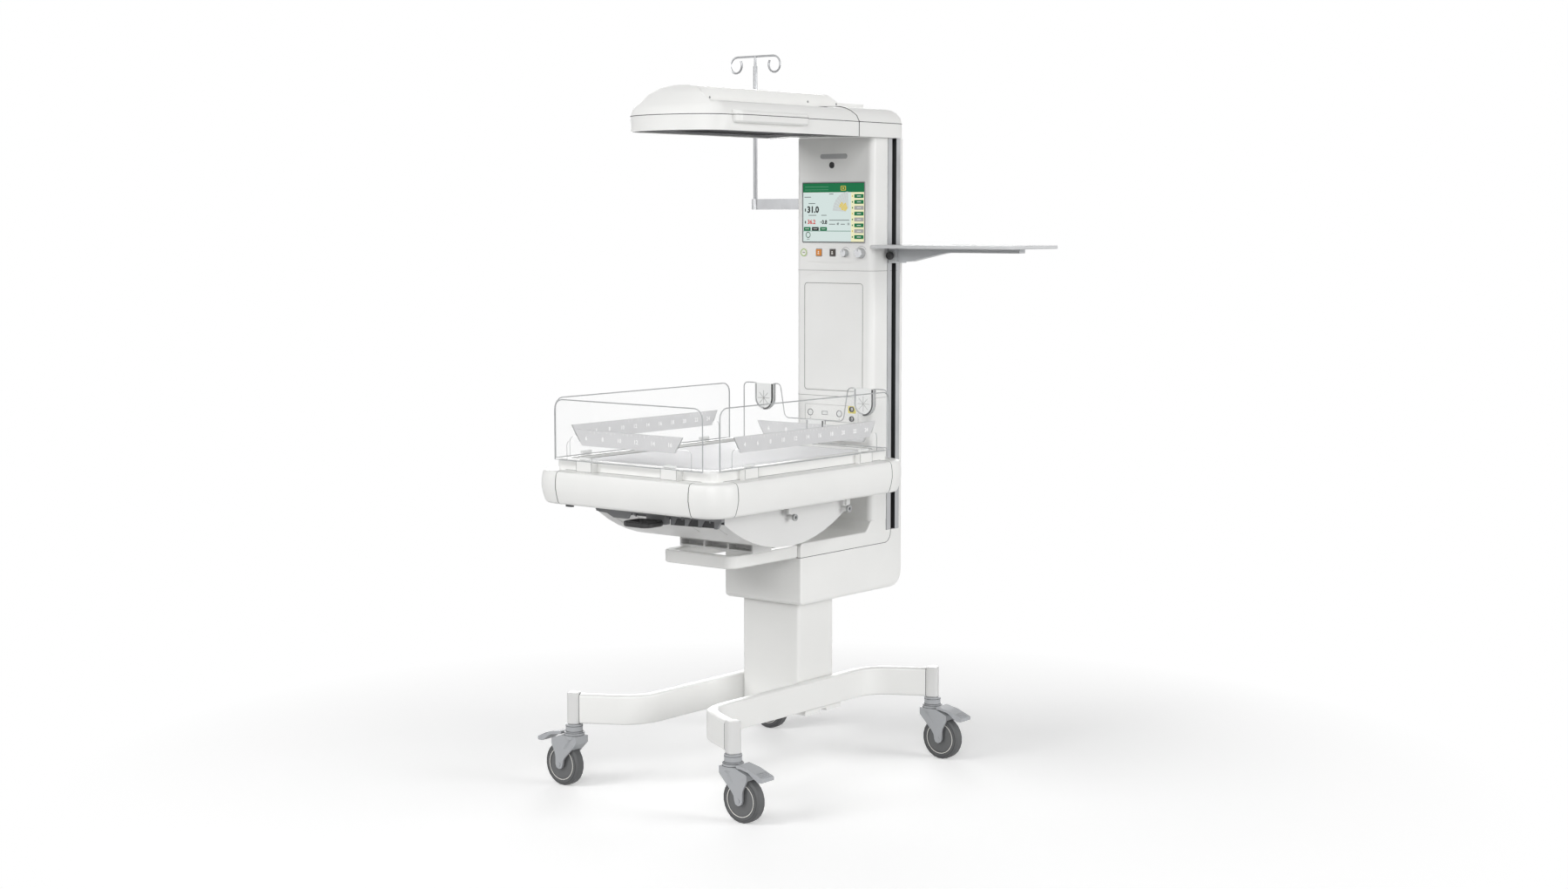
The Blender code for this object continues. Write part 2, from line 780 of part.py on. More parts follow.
def build_casters():
    """Four swivel casters, each a fork, a wheel and a brake pedal that trail outwards."""
    cheek_out = WHEEL_W / 2 + FORK_SIDE_PLAY + FORK_CHEEK
    axle_z = WHEEL_R
    crown = FORK_CROWN_Z
    neck_top = LEG_Z - CAP_DROP - GAP
    # Side outline of the fork: crown over the wheel, swept cheek down to the axle
    toe_x = TRAIL + COLLAR_R
    foot = FORK_FOOT_R
    side = rounded([
        (-COLLAR_R, crown, 0.0),
        (-COLLAR_R, crown - FORK_CROWN_H, FORK_HEEL_R),
        (TRAIL - foot, axle_z + foot, FORK_SWEEP_R),
        (TRAIL - foot, axle_z - foot, foot * FULL_ROUND),
        (TRAIL + foot, axle_z - foot, foot * FULL_ROUND),
        (TRAIL + foot, axle_z + foot * 2, FORK_SWEEP_R),
        (toe_x, crown - FORK_CROWN_H * 1.5, FORK_TOE_R),
        (toe_x, crown - FORK_CROWN_H * 0.7, FORK_TOE_R),
        (COLLAR_R, crown, 0.0),
    ], 2)
    fork = plate("fork", [side], "XZ", -cheek_out, cheek_out)
    slot_r = WHEEL_R + FORK_SIDE_PLAY
    slot_half = WHEEL_W / 2 + FORK_SIDE_PLAY
    slot = rod("wheel_slot", (TRAIL, -slot_half, axle_z), slot_half * 2, slot_r, "Y", 20)
    collar = turned("collar", [
        (0.0, neck_top),
        (COLLAR_NECK_R, neck_top),
        (COLLAR_NECK_R, crown + COLLAR_STEP),
        (COLLAR_R, crown + COLLAR_STEP),
        (COLLAR_R, crown - COLLAR_STEP),
        (0.0, crown - COLLAR_STEP),
    ], 16, None)
    axle_out = cheek_out + AXLE_NUB
    axle = rod("axle", (TRAIL, -axle_out, axle_z), axle_out * 2, AXLE_R, "Y", 12)
    CUTTERS.objects.link(slot)
    CUTTERS.objects.link(collar)
    CUTTERS.objects.link(axle)
    for tool, operation in ((slot, "DIFFERENCE"), (collar, "UNION"), (axle, "UNION")):
        modifier = fork.modifiers.new(operation.lower(), "BOOLEAN")
        modifier.operation = operation
        modifier.object = tool
        modifier.solver = "EXACT"
    fork = baked(fork)
    for tool in (slot, collar, axle):
        bpy.data.objects.remove(tool, do_unlink=True)

    # The wheel rests on a flat between two of its sides
    flat = math.pi / WHEEL_SIDES
    rim = WHEEL_R / math.cos(flat)
    half = WHEEL_W / 2
    hub_face = WHEEL_W / 2 - HUB_DISH
    bore = AXLE_R + RUN
    tread = half - TYRE_SHOULDER
    wheel = turned("wheel", [
        (bore, hub_face),
        (HUB_R, hub_face),
        (HUB_R + HUB_DISH, half),
        (rim - TYRE_SHOULDER, half),
        (rim, tread),
        (rim, -tread),
        (rim - TYRE_SHOULDER, -half),
        (HUB_R + HUB_DISH, -half),
        (HUB_R, -hub_face),
        (bore, -hub_face),
        (bore, hub_face),
    ], WHEEL_SIDES, AXIS_TURN["Y"] @ Matrix.Rotation(flat, 4, "Z"))

    barrel_x = COLLAR_R + RUN + PEDAL_BARREL_R
    barrel_z = crown + GAP + PEDAL_BARREL_R
    barrel_round = PEDAL_BARREL_R * FULL_ROUND
    low = crown + GAP
    tip_top = crown - PEDAL_FALL
    elbow_x = TRAIL + COLLAR_R + PEDAL_THICK / 2
    pedal_side = rounded([
        (barrel_x - PEDAL_BARREL_R, low, barrel_round),
        (barrel_x + PEDAL_BARREL_R * 1.5, low, PEDAL_BEND_R),
        (elbow_x, crown - PEDAL_THICK / 2, PEDAL_BEND_R),
        (PEDAL_REACH - PEDAL_THICK * 1.5, tip_top - PEDAL_THICK, PEDAL_TIP_R),
        (PEDAL_REACH, tip_top - PEDAL_THICK, PEDAL_TIP_R),
        (PEDAL_REACH, tip_top, PEDAL_TIP_R),
        (elbow_x, crown + PEDAL_THICK / 4, PEDAL_BACK_R),
        (barrel_x - PEDAL_BARREL_R, barrel_z + PEDAL_BARREL_R, barrel_round),
    ], 2)
    pedal = plate("pedal", [pedal_side], "XZ", -PEDAL_W / 2, PEDAL_W / 2)

    for end, side_y in (("front", -1), ("rear", 1)):
        for hand, side_x in (("left", -1), ("right", 1)):
            tail = "_" + end + "_" + hand
            turn = 0.0 if side_x > 0 else math.pi
            stem = empty("caster" + tail + "_axis", (side_x * STEM_X, side_y * STEM_Y, 0.0), BASE.joint, turn)
            axis = empty("wheel" + tail + "_axis", (TRAIL, 0.0, axle_z), stem)
            hinge = empty("pedal" + tail + "_axis", (barrel_x, 0.0, barrel_z), stem)
            back = Vector((-barrel_x, 0.0, -barrel_z))
            for label, mesh, carrier, place, material in (
                ("caster_fork", fork.data, stem, (0.0, 0.0, 0.0), FORK_GREY),
                ("caster_wheel", wheel.data, axis, (0.0, 0.0, 0.0), TYRE_GREY),
                ("caster_pedal", pedal.data, hinge, back, FORK_GREY),
            ):
                piece = bpy.data.objects.new(label + tail, mesh)
                PARTS.objects.link(piece)
                piece.parent = carrier
                piece.location = place
                if not mesh.materials:
                    mesh.materials.append(material)
                    mesh.shade_smooth()
                    mesh.set_sharp_from_angle(angle=math.radians(35))
    for pattern in (fork, wheel, pedal):
        bpy.data.objects.remove(pattern, do_unlink=True)


def housing_ring(x, inset):
    """Side outline of the housing at an x, drawn in by an inset."""
    top = TOWER_Z - GAP
    rise = top - HOUSING_TOP
    foot_r = rise - HOUSING_EDGE
    slope = (rise - HOUSING_EDGE) / rise
    aside = inset * math.hypot(1.0, slope)
    outline = rounded([
        (HOUSING_FRONT + inset, HOUSING_Z + inset, HOUSING_R - inset),
        (HOUSING_REAR - inset, HOUSING_Z + inset, HOUSING_REAR_R - inset),
        (HOUSING_REAR - inset, top, 0.0),
        (TOWER_FRONT + aside, top, 0.0),
        (TOWER_FRONT - foot_r + aside - slope * inset, HOUSING_TOP - inset, foot_r + inset),
        (HOUSING_FRONT + inset, HOUSING_TOP - inset, HOUSING_R - inset),
    ], 5)
    return [Vector((x, *point)) for point in outline]


def housing_form(name):
    """The whole housing with rounded side edges."""
    half = HOUSING_W / 2
    edge = HOUSING_EDGE
    levels = []
    for turn in (90.0, 45.0, 0.0):
        bend = math.radians(turn)
        levels.append((half - edge + edge * math.sin(bend), edge - edge * math.cos(bend)))
    rings = [housing_ring(-x, inset) for x, inset in levels]
    rings += [housing_ring(x, inset) for x, inset in reversed(levels)]
    return loft(name, rings)


def build_housing():
    """Lower shell and upper cover of the middle housing."""
    half = HOUSING_W / 2
    top = TOWER_Z - GAP
    over = HOUSING_EDGE
    # Both shells are the same rounded form, parted by a seam that turns up behind
    below = rounded([
        (HOUSING_FRONT - over, HOUSING_Z - over, 0.0),
        (HOUSING_REAR + over, HOUSING_Z - over, 0.0),
        (HOUSING_REAR + over, top + over, 0.0),
        (SEAM_RISE_Y + GAP, top + over, 0.0),
        (SEAM_RISE_Y + GAP, HOUSING_SEAM, SEAM_RISE_R),
        (HOUSING_FRONT - over, HOUSING_SEAM, 0.0),
    ], 5)
    above = rounded([
        (HOUSING_FRONT - over, HOUSING_SEAM + GAP, 0.0),
        (SEAM_RISE_Y, HOUSING_SEAM + GAP, SEAM_RISE_R + GAP),
        (SEAM_RISE_Y, top + over, 0.0),
        (HOUSING_FRONT - over, top + over, 0.0),
    ], 5)
    shells = []
    for name, region in (("housing_lower", below), ("housing_upper", above)):
        shell = add(housing_form(name), LIFT, WHITE)
        keep_inside(shell, plate(name + "_part", [region], "YZ", -half - over, half + over), LIFT)
        shells.append(shell)
    lower, upper = shells

    # Shaft for the column, pocket for its head, slots for the arms and notches for the rail ends
    clear = RUN
    column_x = COLUMN_W / 2 + clear
    column_y0 = COLUMN_Y - COLUMN_D / 2 - clear
    column_y1 = COLUMN_Y + COLUMN_D / 2 + clear
    shaft = rectangle(-column_x, column_x, column_y0, column_y1, COLUMN_ROUND)
    cut(lower, plate("column_shaft", [shaft], "XY", HOUSING_Z - over, HOUSING_SEAM + over), LIFT)
    inset = COLUMN_WALL + COLUMN_PLAY - GAP
    pocket = block("head_pocket", (-column_x + inset, column_y0 + inset, HOUSING_SEAM - over),
                   (column_x - inset, column_y1 - inset, ARM_Z + HEAD_PLATE_T + GAP))
    cut(upper, pocket, LIFT)
    slots = []
    for side in (-1, 1):
        near = side * (ARM_W / 2 - ARM_BAR - GAP)
        far = side * (ARM_W / 2 + GAP)
        low = (min(near, far), HOUSING_FRONT - over, HOUSING_SEAM - over)
        high = (max(near, far), HOUSING_FRONT + ARM_INSERT + GAP, ARM_TOP + GAP)
        slots.append(block("arm_slot", low, high))
    cut(upper, group("arm_slots", slots), LIFT)
    for name, shell in (("lower", lower), ("upper", upper)):
        notches = []
        for side in (-1, 1):
            near = side * (SPINE_W / 2)
            far = side * (half + over)
            low = (min(near, far), TOWER_SHELL_REAR, RAIL_Z - GAP)
            high = (max(near, far), TOWER_SHELL_REAR + RAIL_D + GAP * 2, TOWER_Z + over)
            notches.append(block("rail_notch", low, high))
        cut(shell, group("rail_notches_" + name, notches), LIFT)


def build_support():
    """U-shaped arm out of the housing, and the ribbed bracket on it in which the cradle slides."""
    x = ARM_W / 2
    inner = x - ARM_BAR
    rear = HOUSING_FRONT + ARM_INSERT
    inner_front = ARM_FRONT + ARM_BAR
    inner_r = ARM_ROUND - ARM_BAR / 2
    outline = rounded([
        (-x, rear, 0.0),
        (-x, ARM_FRONT, ARM_ROUND),
        (x, ARM_FRONT, ARM_ROUND),
        (x, rear, 0.0),
        (inner, rear, 0.0),
        (inner, inner_front, inner_r),
        (-inner, inner_front, inner_r),
        (-inner, rear, 0.0),
    ], 4)
    arm = plate("support_arm", [outline], "XY", ARM_Z, ARM_TOP)
    soften(arm, ARM_EDGE, 1, 60.0)
    add(arm, LIFT, PAINT)

    half = BRACKET_D / 2
    foot = ARM_TOP + GAP
    seat_r = CRADLE_R + RUN
    steps = 6
    seat = []
    for step in range(steps + 1):
        along = half - BRACKET_D * step / steps
        seat.append(Vector((BED_Y + along, TILT_Z - math.sqrt(seat_r ** 2 - along ** 2))))
    side = [Vector((BED_Y - half, foot)), Vector((BED_Y + half, foot))] + seat
    bracket = plate("tilt_bracket", [side], "YZ", -BRACKET_W / 2, BRACKET_W / 2)
    add(bracket, LIFT, PAINT)
    bay = (BRACKET_W - BRACKET_RIB) / BRACKET_BAYS
    crown = TILT_Z - seat_r
    pockets = []
    for face in (-1, 1):
        for index in range(BRACKET_BAYS):
            x0 = -BRACKET_W / 2 + BRACKET_RIB + bay * index
            near = BED_Y + face * (half + BRACKET_RIB)
            far = BED_Y + face * (half - BRACKET_POCKET)
            low = (x0, min(near, far), foot + BRACKET_RIB)
            high = (x0 + bay - BRACKET_RIB, max(near, far), crown - BRACKET_RIB / 2)
            pockets.append(block("pocket", low, high))
    cut(bracket, group("bracket_pockets", pockets), LIFT)


def cradle_side(radius, half, top):
    """Side outline of the cradle: an arc about the tilt axis with upright ends."""
    steps = 14
    arc = []
    for step in range(steps + 1):
        along = -half + 2 * half * step / steps
        arc.append(Vector((BED_Y + along, TILT_Z - math.sqrt(radius ** 2 - along ** 2))))
    return arc + [Vector((BED_Y + half, top)), Vector((BED_Y - half, top))]


def build_cradle():
    """Trough with round-bottomed side plates that slides in the bracket, and its release handle."""
    top = BUMPER_Z
    half_w = CRADLE_W / 2
    half_l = CRADLE_L / 2
    wall = CRADLE_WALL
    cradle = plate("cradle", [cradle_side(CRADLE_R, half_l, top)], "YZ", -half_w, half_w)
    add(cradle, BED, PAINT)
    hollow = cradle_side(CRADLE_R - wall, half_l - wall, top + wall)
    cut(cradle, plate("cradle_hollow", [hollow], "YZ", -half_w + wall, half_w - wall), BED)
    pegs = []
    for side in (-1, 1):
        start_x = half_w - wall / 2 if side > 0 else -half_w + wall / 2 - PEG_L
        for peg_y in (BED_Y, BED_Y + REAR_PEG_Y):
            pegs.append(rod("peg", (start_x, peg_y, PEG_Z), PEG_L, PEG_R, "X", 12))
    fuse(cradle, group("pegs", pegs), BED)
    # Cross frame at the front, with gussets down to the trough and the lug of the handle
    root = CRADLE_FRONT + wall / 2
    frame_z = top - FRAME_H
    pieces = [block("cross_frame", (-half_w, CRADLE_FRONT - FRAME_D, frame_z), (half_w, root, top))]
    lug_low = (-LUG_W / 2, CRADLE_FRONT - LUG_L, HANDLE_AXIS.z - HANDLE_T / 2)
    pieces.append(block("handle_lug", lug_low, (LUG_W / 2, root, frame_z + wall)))
    trough_z = TILT_Z - math.sqrt(CRADLE_R ** 2 - (half_l - GUSSET_L) ** 2)
    gusset = [
        Vector((CRADLE_FRONT - FRAME_D, frame_z + wall)),
        Vector((CRADLE_FRONT - FRAME_D, frame_z - wall)),
        Vector((CRADLE_FRONT + GUSSET_L, trough_z - wall / 2)),
        Vector((CRADLE_FRONT + GUSSET_L, frame_z + wall)),
    ]
    for x in GUSSET_XS:
        pieces.append(plate("gusset", [gusset], "YZ", x - wall / 2, x + wall / 2))
    for piece in pieces:
        fuse(cradle, piece, BED)

    handle_body = Body("tilt_handle", HANDLE_AXIS, BED)
    x = HANDLE_W / 2
    rear = HANDLE_AXIS.y - HANDLE_EDGE / 2
    front = HANDLE_AXIS.y - HANDLE_L
    bar = HANDLE_BAR
    edge = HANDLE_EDGE
    low = HANDLE_AXIS.z - HANDLE_T / 2
    high = HANDLE_AXIS.z + HANDLE_T / 2
    courses = []
    for inset, height in (
        (0.0, low + edge), (0.0, high - edge), (edge, high), (bar - edge, high),
        (bar, high - edge), (bar, low + edge), (bar - edge, low), (edge, low),
    ):
        corner_r = HANDLE_ROUND - inset
        outline = rectangle(-x + inset, x - inset, front + inset, rear - inset, corner_r, 3)
        courses.append([Vector((*point, height)) for point in outline])
    handle = loft("tilt_handle", list(zip(*courses)), True)
    add(handle, handle_body, BLACK)
    # The barrel turns about the axis just clear of the lug
    barrel_w = LUG_W - HANDLE_BAR
    barrel_r = HANDLE_T / 2 - GAP
    barrel_start = (-barrel_w / 2, HANDLE_AXIS.y, HANDLE_AXIS.z)
    barrel = rod("handle_barrel", barrel_start, barrel_w, barrel_r, "X", 16)
    fuse(handle, barrel, handle_body)


def bumper_section():
    """Outward offset and height of the bulged bumper section."""
    deep = BUMPER_D
    low = BUMPER_Z
    high = BUMPER_TOP
    outline = rounded([
        (0.0, low, 0.0),
        (deep - BUMPER_TUCK, low, BUMPER_EDGE),
        (deep, low + BUMPER_H / 2, BUMPER_H),
        (deep - BUMPER_LEAN, high, BUMPER_EDGE),
        (0.0, high, 0.0),
    ], 2)
    crest = max(point.x for point in outline)
    return [Vector((point.x * deep / crest, point.y)) for point in outline]


def bumper_path():
    """Plan places along the inside of the bumper, their outward directions and how far a seam dips there."""
    inner_r = BUMPER_R - BUMPER_D
    straight = CORNER_L - BUMPER_R
    seam = ((-BUMPER_SEAM, 0.0), (0.0, BUMPER_SEAM), (BUMPER_SEAM, 0.0))
    steps = 4
    path = []
    for quarter in range(4):
        turn = math.pi / 2 * quarter
        start = Vector((round(math.cos(turn)), round(math.sin(turn))))
        end = Vector((-start.y, start.x))
        side = start + end
        centre = Vector((side.x * (BUMPER_W / 2 - BUMPER_R), BED_Y + side.y * (BUMPER_L / 2 - BUMPER_R)))
        for along, dip in seam:
            path.append((centre + start * inner_r - end * (straight - along), start, dip))
        for step in range(steps + 1):
            bend = math.pi / 2 * step / steps
            out = start * math.cos(bend) + end * math.sin(bend)
            path.append((centre + out * inner_r, out, 0.0))
        for along, dip in seam:
            path.append((centre + end * inner_r - start * (straight + along), end, dip))
    return path


def build_bed():
    """Tray with a mattress well and panel clips, the bumper round it and the mattress."""
    y0 = BED_Y - RIM_HALF_L
    y1 = BED_Y + RIM_HALF_L
    rim_r = BUMPER_R - BUMPER_D - GAP
    outer = rectangle(-RIM_X + GAP, RIM_X - GAP, y0 + GAP, y1 - GAP, rim_r)
    tray = plate("bed_tray", [outer], "XY", BUMPER_Z + GAP, RIM_TOP)
    soften(tray, RIM_ROUND, 2, 60.0)
    add(tray, BED, WHITE)
    wall = RIM_WALL
    well = rectangle(-RIM_X + wall, RIM_X - wall, y0 + wall, y1 - wall, rim_r)
    cut(tray, plate("mattress_well", [well], "XY", TRAY_FLOOR, RIM_TOP + wall), BED)
    clips = []
    clip_z = BUMPER_TOP + GAP
    root = RIM_ROUND * 1.5
    for side in (-1, 1):
        for along in (-1, 1):
            y = BED_Y + along * CLIP_SIDE_PITCH / 2
            xs = sorted((side * (RIM_X - root), side * (RIM_X + CLIP_D)))
            clips.append(block("clip", (xs[0], y - CLIP_W / 2, clip_z), (xs[1], y + CLIP_W / 2, CLIP_TOP)))
            x = along * CLIP_END_PITCH / 2
            ys = sorted((BED_Y + side * (RIM_HALF_L - root), BED_Y + side * (RIM_HALF_L + CLIP_D * 1.3)))
            clips.append(block("clip", (x - CLIP_W / 2, ys[0], clip_z), (x + CLIP_W / 2, ys[1], CLIP_TOP)))
    fuse(tray, group("clips", clips), BED)

    middle = (BUMPER_Z + BUMPER_TOP) / 2
    rings = []
    for place, out, dip in bumper_path():
        keep = 1 - dip / BUMPER_D
        ring = []
        for offset, height in bumper_section():
            ring.append(Vector((*(place + out * offset * keep), middle + (height - middle) * keep)))
        rings.append(ring)
    add(loft("bumper", rings, True), BED, WHITE)
    build_mattress()


def mattress_ring(inset, height, crown):
    """One level of the mattress: a rounded rectangle drawn in along its sides."""
    half_x = RIM_X - RIM_WALL - MATTRESS_PLAY
    half_y = RIM_HALF_L - RIM_WALL - MATTRESS_PLAY
    points = []
    steps = 6
    corners = ((1, -1), (1, 1), (-1, 1), (-1, -1))
    for index, (start_x, start_y) in enumerate(corners):
        end_x, end_y = corners[(index + 1) % 4]
        for step in range(steps):
            share = step / steps
            draw = MATTRESS_DRAW * math.sin(math.pi * share)
            x = (start_x + (end_x - start_x) * share) * (half_x - inset)
            y = (start_y + (end_y - start_y) * share) * (half_y - inset)
            if start_x == end_x:
                x -= start_x * draw
            else:
                y -= start_y * draw
            lift = crown * math.cos(x / half_x * math.pi / 2) * math.cos(y / half_y * math.pi / 2)
            points.append(Vector((x, BED_Y + y, height + lift)))
    return points


def build_mattress():
    """Crowned foam mattress with sides drawn in between its corners."""
    low = TRAY_FLOOR + GAP
    high = low + MATTRESS_H
    edge = MATTRESS_EDGE
    rings = [
        mattress_ring(edge / 2, low, 0.0),
        mattress_ring(0.0, low + edge, 0.0),
        mattress_ring(0.0, high - edge, 0.0),
        mattress_ring(edge / 2, high - edge / 4, 0.0),
        mattress_ring(edge * 2, high, MATTRESS_CROWN),
        mattress_ring(edge * 8, high, MATTRESS_CROWN),
        mattress_ring(edge * 16, high, MATTRESS_CROWN),
    ]
    add(loft("mattress", rings), BED, FOAM)


def panel_outline(half, centre, low, high, radius):
    """A panel with square feet and rounded top corners."""
    return rounded([
        (centre - half, low, 0.0),
        (centre + half, low, 0.0),
        (centre + half, high, radius),
        (centre - half, high, radius),
    ], 4)


def strip_outline(half, centre, low):
    """A scale strip, longer above than below, with rounded lower corners."""
    foot = half - STRIP_SLANT
    return rounded([
        (centre - foot, low, STRIP_R),
        (centre + foot, low, STRIP_R),
        (centre + half, low + STRIP_H, 0.0),
        (centre - half, low + STRIP_H, 0.0),
    ], 3)


def flap_outline(half, centre):
    """A low inner flap."""
    return panel_outline(half, centre, PANEL_Z, FLAP_TOP, PANEL_R / 2)


def build_panels():
    """Clear panels that fold out about their feet, each with a low inner flap and a scale strip."""
    inner = PANEL_T / 2
    root = PANEL_T / 4
    for hand, side in (("left", -1), ("right", 1)):
        face = side * SIDE_PANEL_X
        body = Body("panel_" + hand, (face + side * (inner + RUN), BED_Y, PANEL_Z), BED)
        outline = panel_outline(SIDE_PANEL_L / 2, BED_Y, PANEL_Z, PANEL_TOP, PANEL_R)
        sheet = plate("panel_" + hand, [outline], "YZ", face - inner, face + inner)
        add(sheet, body, CLEAR)
        for thick, outline in ((FLAP_T, flap_outline(FLAP_SIDE_L / 2, BED_Y)),
                               (STRIP_T, strip_outline(STRIP_SIDE_L / 2, BED_Y, STRIP_Z))):
            xs = sorted((face - side * (inner - root), face - side * (inner + thick)))
            fuse(sheet, plate("pad", [outline], "YZ", *xs), body)

    face = BED_Y - END_PANEL_Y
    body = Body("panel_front", (0.0, face - inner - RUN, PANEL_Z), BED)
    outline = panel_outline(END_PANEL_W / 2, 0.0, PANEL_Z, PANEL_TOP, PANEL_R)
    sheet = plate("panel_front", [outline], "XZ", face - inner, face + inner)
    add(sheet, body, CLEAR)
    for thick, outline in ((FLAP_T, flap_outline(FLAP_END_W / 2, 0.0)),
                           (STRIP_T, strip_outline(STRIP_END_W / 2, 0.0, STRIP_Z))):
        fuse(sheet, plate("pad", [outline], "XZ", face + inner - root, face + inner + thick), body)
    build_rear_panel()


def build_rear_panel():
    """Lift-out rear panel with two raised tabs, each notched for a tube grommet."""
    face = BED_Y + END_PANEL_Y
    inner = PANEL_T / 2
    body = Body("panel_rear", (0.0, face, PANEL_Z), BED)
    half = END_PANEL_W / 2
    slant = REAR_TAB_SLANT
    notch_r = GROMMET_R + GAP
    right = [
        (half, PANEL_Z, 0.0),
        (half, REAR_TAB_TOP, PANEL_R / 2),
        (GROMMET_X + notch_r, REAR_TAB_TOP, 0.0),
        (GROMMET_X + notch_r, GROMMET_Z - notch_r, notch_r * FULL_ROUND),
        (GROMMET_X - notch_r, GROMMET_Z - notch_r, notch_r * FULL_ROUND),
        (GROMMET_X - notch_r, REAR_TAB_TOP, 0.0),
        (REAR_TAB_X + slant, REAR_TAB_TOP, slant * 0.8),
        (REAR_TAB_X, REAR_LOW_Z, slant),
    ]
    left = [(-x, z, radius) for x, z, radius in reversed(right)]
    sheet = plate("panel_rear", [rounded(right + left, 5)], "XZ", face - inner, face + inner)
    add(sheet, body, CLEAR)
    strip = strip_outline(REAR_STRIP_W / 2, 0.0, PANEL_Z + REAR_STRIP_RISE)
    fuse(sheet, plate("rear_strip", [strip], "XZ", face - inner - STRIP_T, face - inner / 2), body)

    for hand, side in (("left", -1), ("right", 1)):
        x = side * GROMMET_X
        outline = rounded([
            (x - GROMMET_R, GROMMET_Z - GROMMET_R, GROMMET_R * FULL_ROUND),
            (x + GROMMET_R, GROMMET_Z - GROMMET_R, GROMMET_R * FULL_ROUND),
            (x + GROMMET_R, REAR_TAB_TOP, 0.0),
            (x - GROMMET_R, REAR_TAB_TOP, 0.0),
        ], 5)
        plug = plate("grommet_" + hand, [outline], "XZ", face - GROMMET_T / 2, face + GROMMET_T / 2)
        add(plug, body, SILICONE)


def tower_section(front, rear, radius):
    """Plan outline of a tower cover with rounded front corners."""
    x = TOWER_W / 2
    return rounded([(-x, front, radius), (x, front, radius), (x, rear, 0.0), (-x, rear, 0.0)], 4)


def crescent(width, sag, z, upward):
    """A shallow curved recess between two arcs."""
    steps = 8
    half = width / 2
    bow = -1 if upward else 1
    shallow = []
    deep = []
    for step in range(steps + 1):
        x = -half + width * step / steps
        bend = 1 - (x / half) ** 2
        shallow.append(Vector((x, z - bow * sag * 0.35 * bend)))
        deep.append(Vector((x, z - bow * sag * bend)))
    return shallow + list(reversed(deep[1:-1]))


def build_tower():
    """Front covers, rear spine, slotted side rails, display, lamp and connector panel."""
    section = tower_section(TOWER_FRONT, TOWER_SHELL_REAR, TOWER_R)
    face = TOWER_FRONT
    over = TOWER_R / 2
    covers = {}
    for name, low, high in (
        ("tower_lower_panel", TOWER_Z, TOWER_SEAM_LOW - GAP),
        ("tower_door", TOWER_SEAM_LOW, TOWER_SEAM_HIGH - GAP),
        ("control_panel", TOWER_SEAM_HIGH, TOWER_TOP),
    ):
        covers[name] = add(plate(name, [section], "XY", low, high), LIFT, WHITE)

    panel = covers["control_panel"]
    half_w = DISPLAY_W / 2
    display_z0 = DISPLAY_Z - DISPLAY_H / 2
    display_z1 = DISPLAY_Z + DISPLAY_H / 2
    window = block("display_window", (-half_w - GAP, face - over, display_z0 - GAP),
                   (half_w + GAP, face + DISPLAY_T, display_z1 + GAP))
    cut(panel, window, LIFT)
    screen = block("display", (-half_w, face - DISPLAY_PROUD, display_z0),
                   (half_w, face + DISPLAY_T - GAP, display_z1))
    add(screen, LIFT, SCREEN)
    lamp_half = LAMP_W / 2
    lamp_r = LAMP_H / 2 - GAP
    lamp_z0 = LAMP_Z - LAMP_H / 2
    lamp_z1 = LAMP_Z + LAMP_H / 2
    lamp_cut = rectangle(-lamp_half - GAP, lamp_half + GAP, lamp_z0 - GAP, lamp_z1 + GAP, lamp_r)
    sensor_cut = circle(SENSOR_X, SENSOR_Z, SENSOR_R + GAP, 20)
    cut(panel, plate("lamp_seats", [lamp_cut, sensor_cut], "XZ", face - over, face + LAMP_DEEP + GAP), LIFT)
    lamp = rectangle(-lamp_half, lamp_half, lamp_z0, lamp_z1, lamp_r)
    add(plate("status_lamp", [lamp], "XZ", face - DISPLAY_PROUD, face + LAMP_DEEP), LIFT, LAMP)
    sensor = circle(SENSOR_X, SENSOR_Z, SENSOR_R, 20)
    add(plate("sensor_eye", [sensor], "XZ", face - DISPLAY_PROUD, face + LAMP_DEEP), LIFT, DARK)
    smile = crescent(SMILE_W, SMILE_SAG, SMILE_Z, False)
    cut(panel, plate("smile", [smile], "XZ", face - over, face + SMILE_DEEP), LIFT)

    door = covers["tower_door"]
    x = DOOR_W / 2
    line = DOOR_GROOVE
    edge = rectangle(-x, x, DOOR_Z0, DOOR_Z1, TOWER_R / 2)
    inner = rectangle(-x + line, x - line, DOOR_Z0 + line, DOOR_Z1 - line, TOWER_R / 2 - line)
    cut(door, plate("door_groove", [edge, inner], "XZ", face - over, face + line), LIFT)
    brow = crescent(SMILE_W, SMILE_SAG, BROW_Z, True)
    cut(door, plate("brow", [brow], "XZ", face - over, face + SMILE_DEEP), LIFT)

    lower = covers["tower_lower_panel"]
    seat = rectangle(PORTS_X0 - GAP, PORTS_X1 + GAP, PORTS_Z0 - GAP, PORTS_Z1 + GAP, PORTS_T)
    cut(lower, plate("ports_seat", [seat], "XZ", face - over, face + PORTS_T + GAP), LIFT)
    ports_outline = rectangle(PORTS_X0, PORTS_X1, PORTS_Z0, PORTS_Z1, PORTS_T)
    holes = [circle(port_x, PORT_Z, PORT_R, 12) for port_x in PORT_XS]
    holes += [circle(PROBE_X, probe_z, PROBE_R, 12) for probe_z in PROBE_ZS]
    port_mid = sum(PORT_XS) / 2
    port_half = PORT_R / 2
    holes.append(rectangle(port_mid - PORT_R, port_mid + PORT_R, PORT_Z - port_half, PORT_Z + port_half,
                           PORT_CORNER_R, 2))
    add(plate("connector_panel", [ports_outline] + holes, "XZ", face, face + PORTS_T), LIFT, WHITE)
    build_spine()


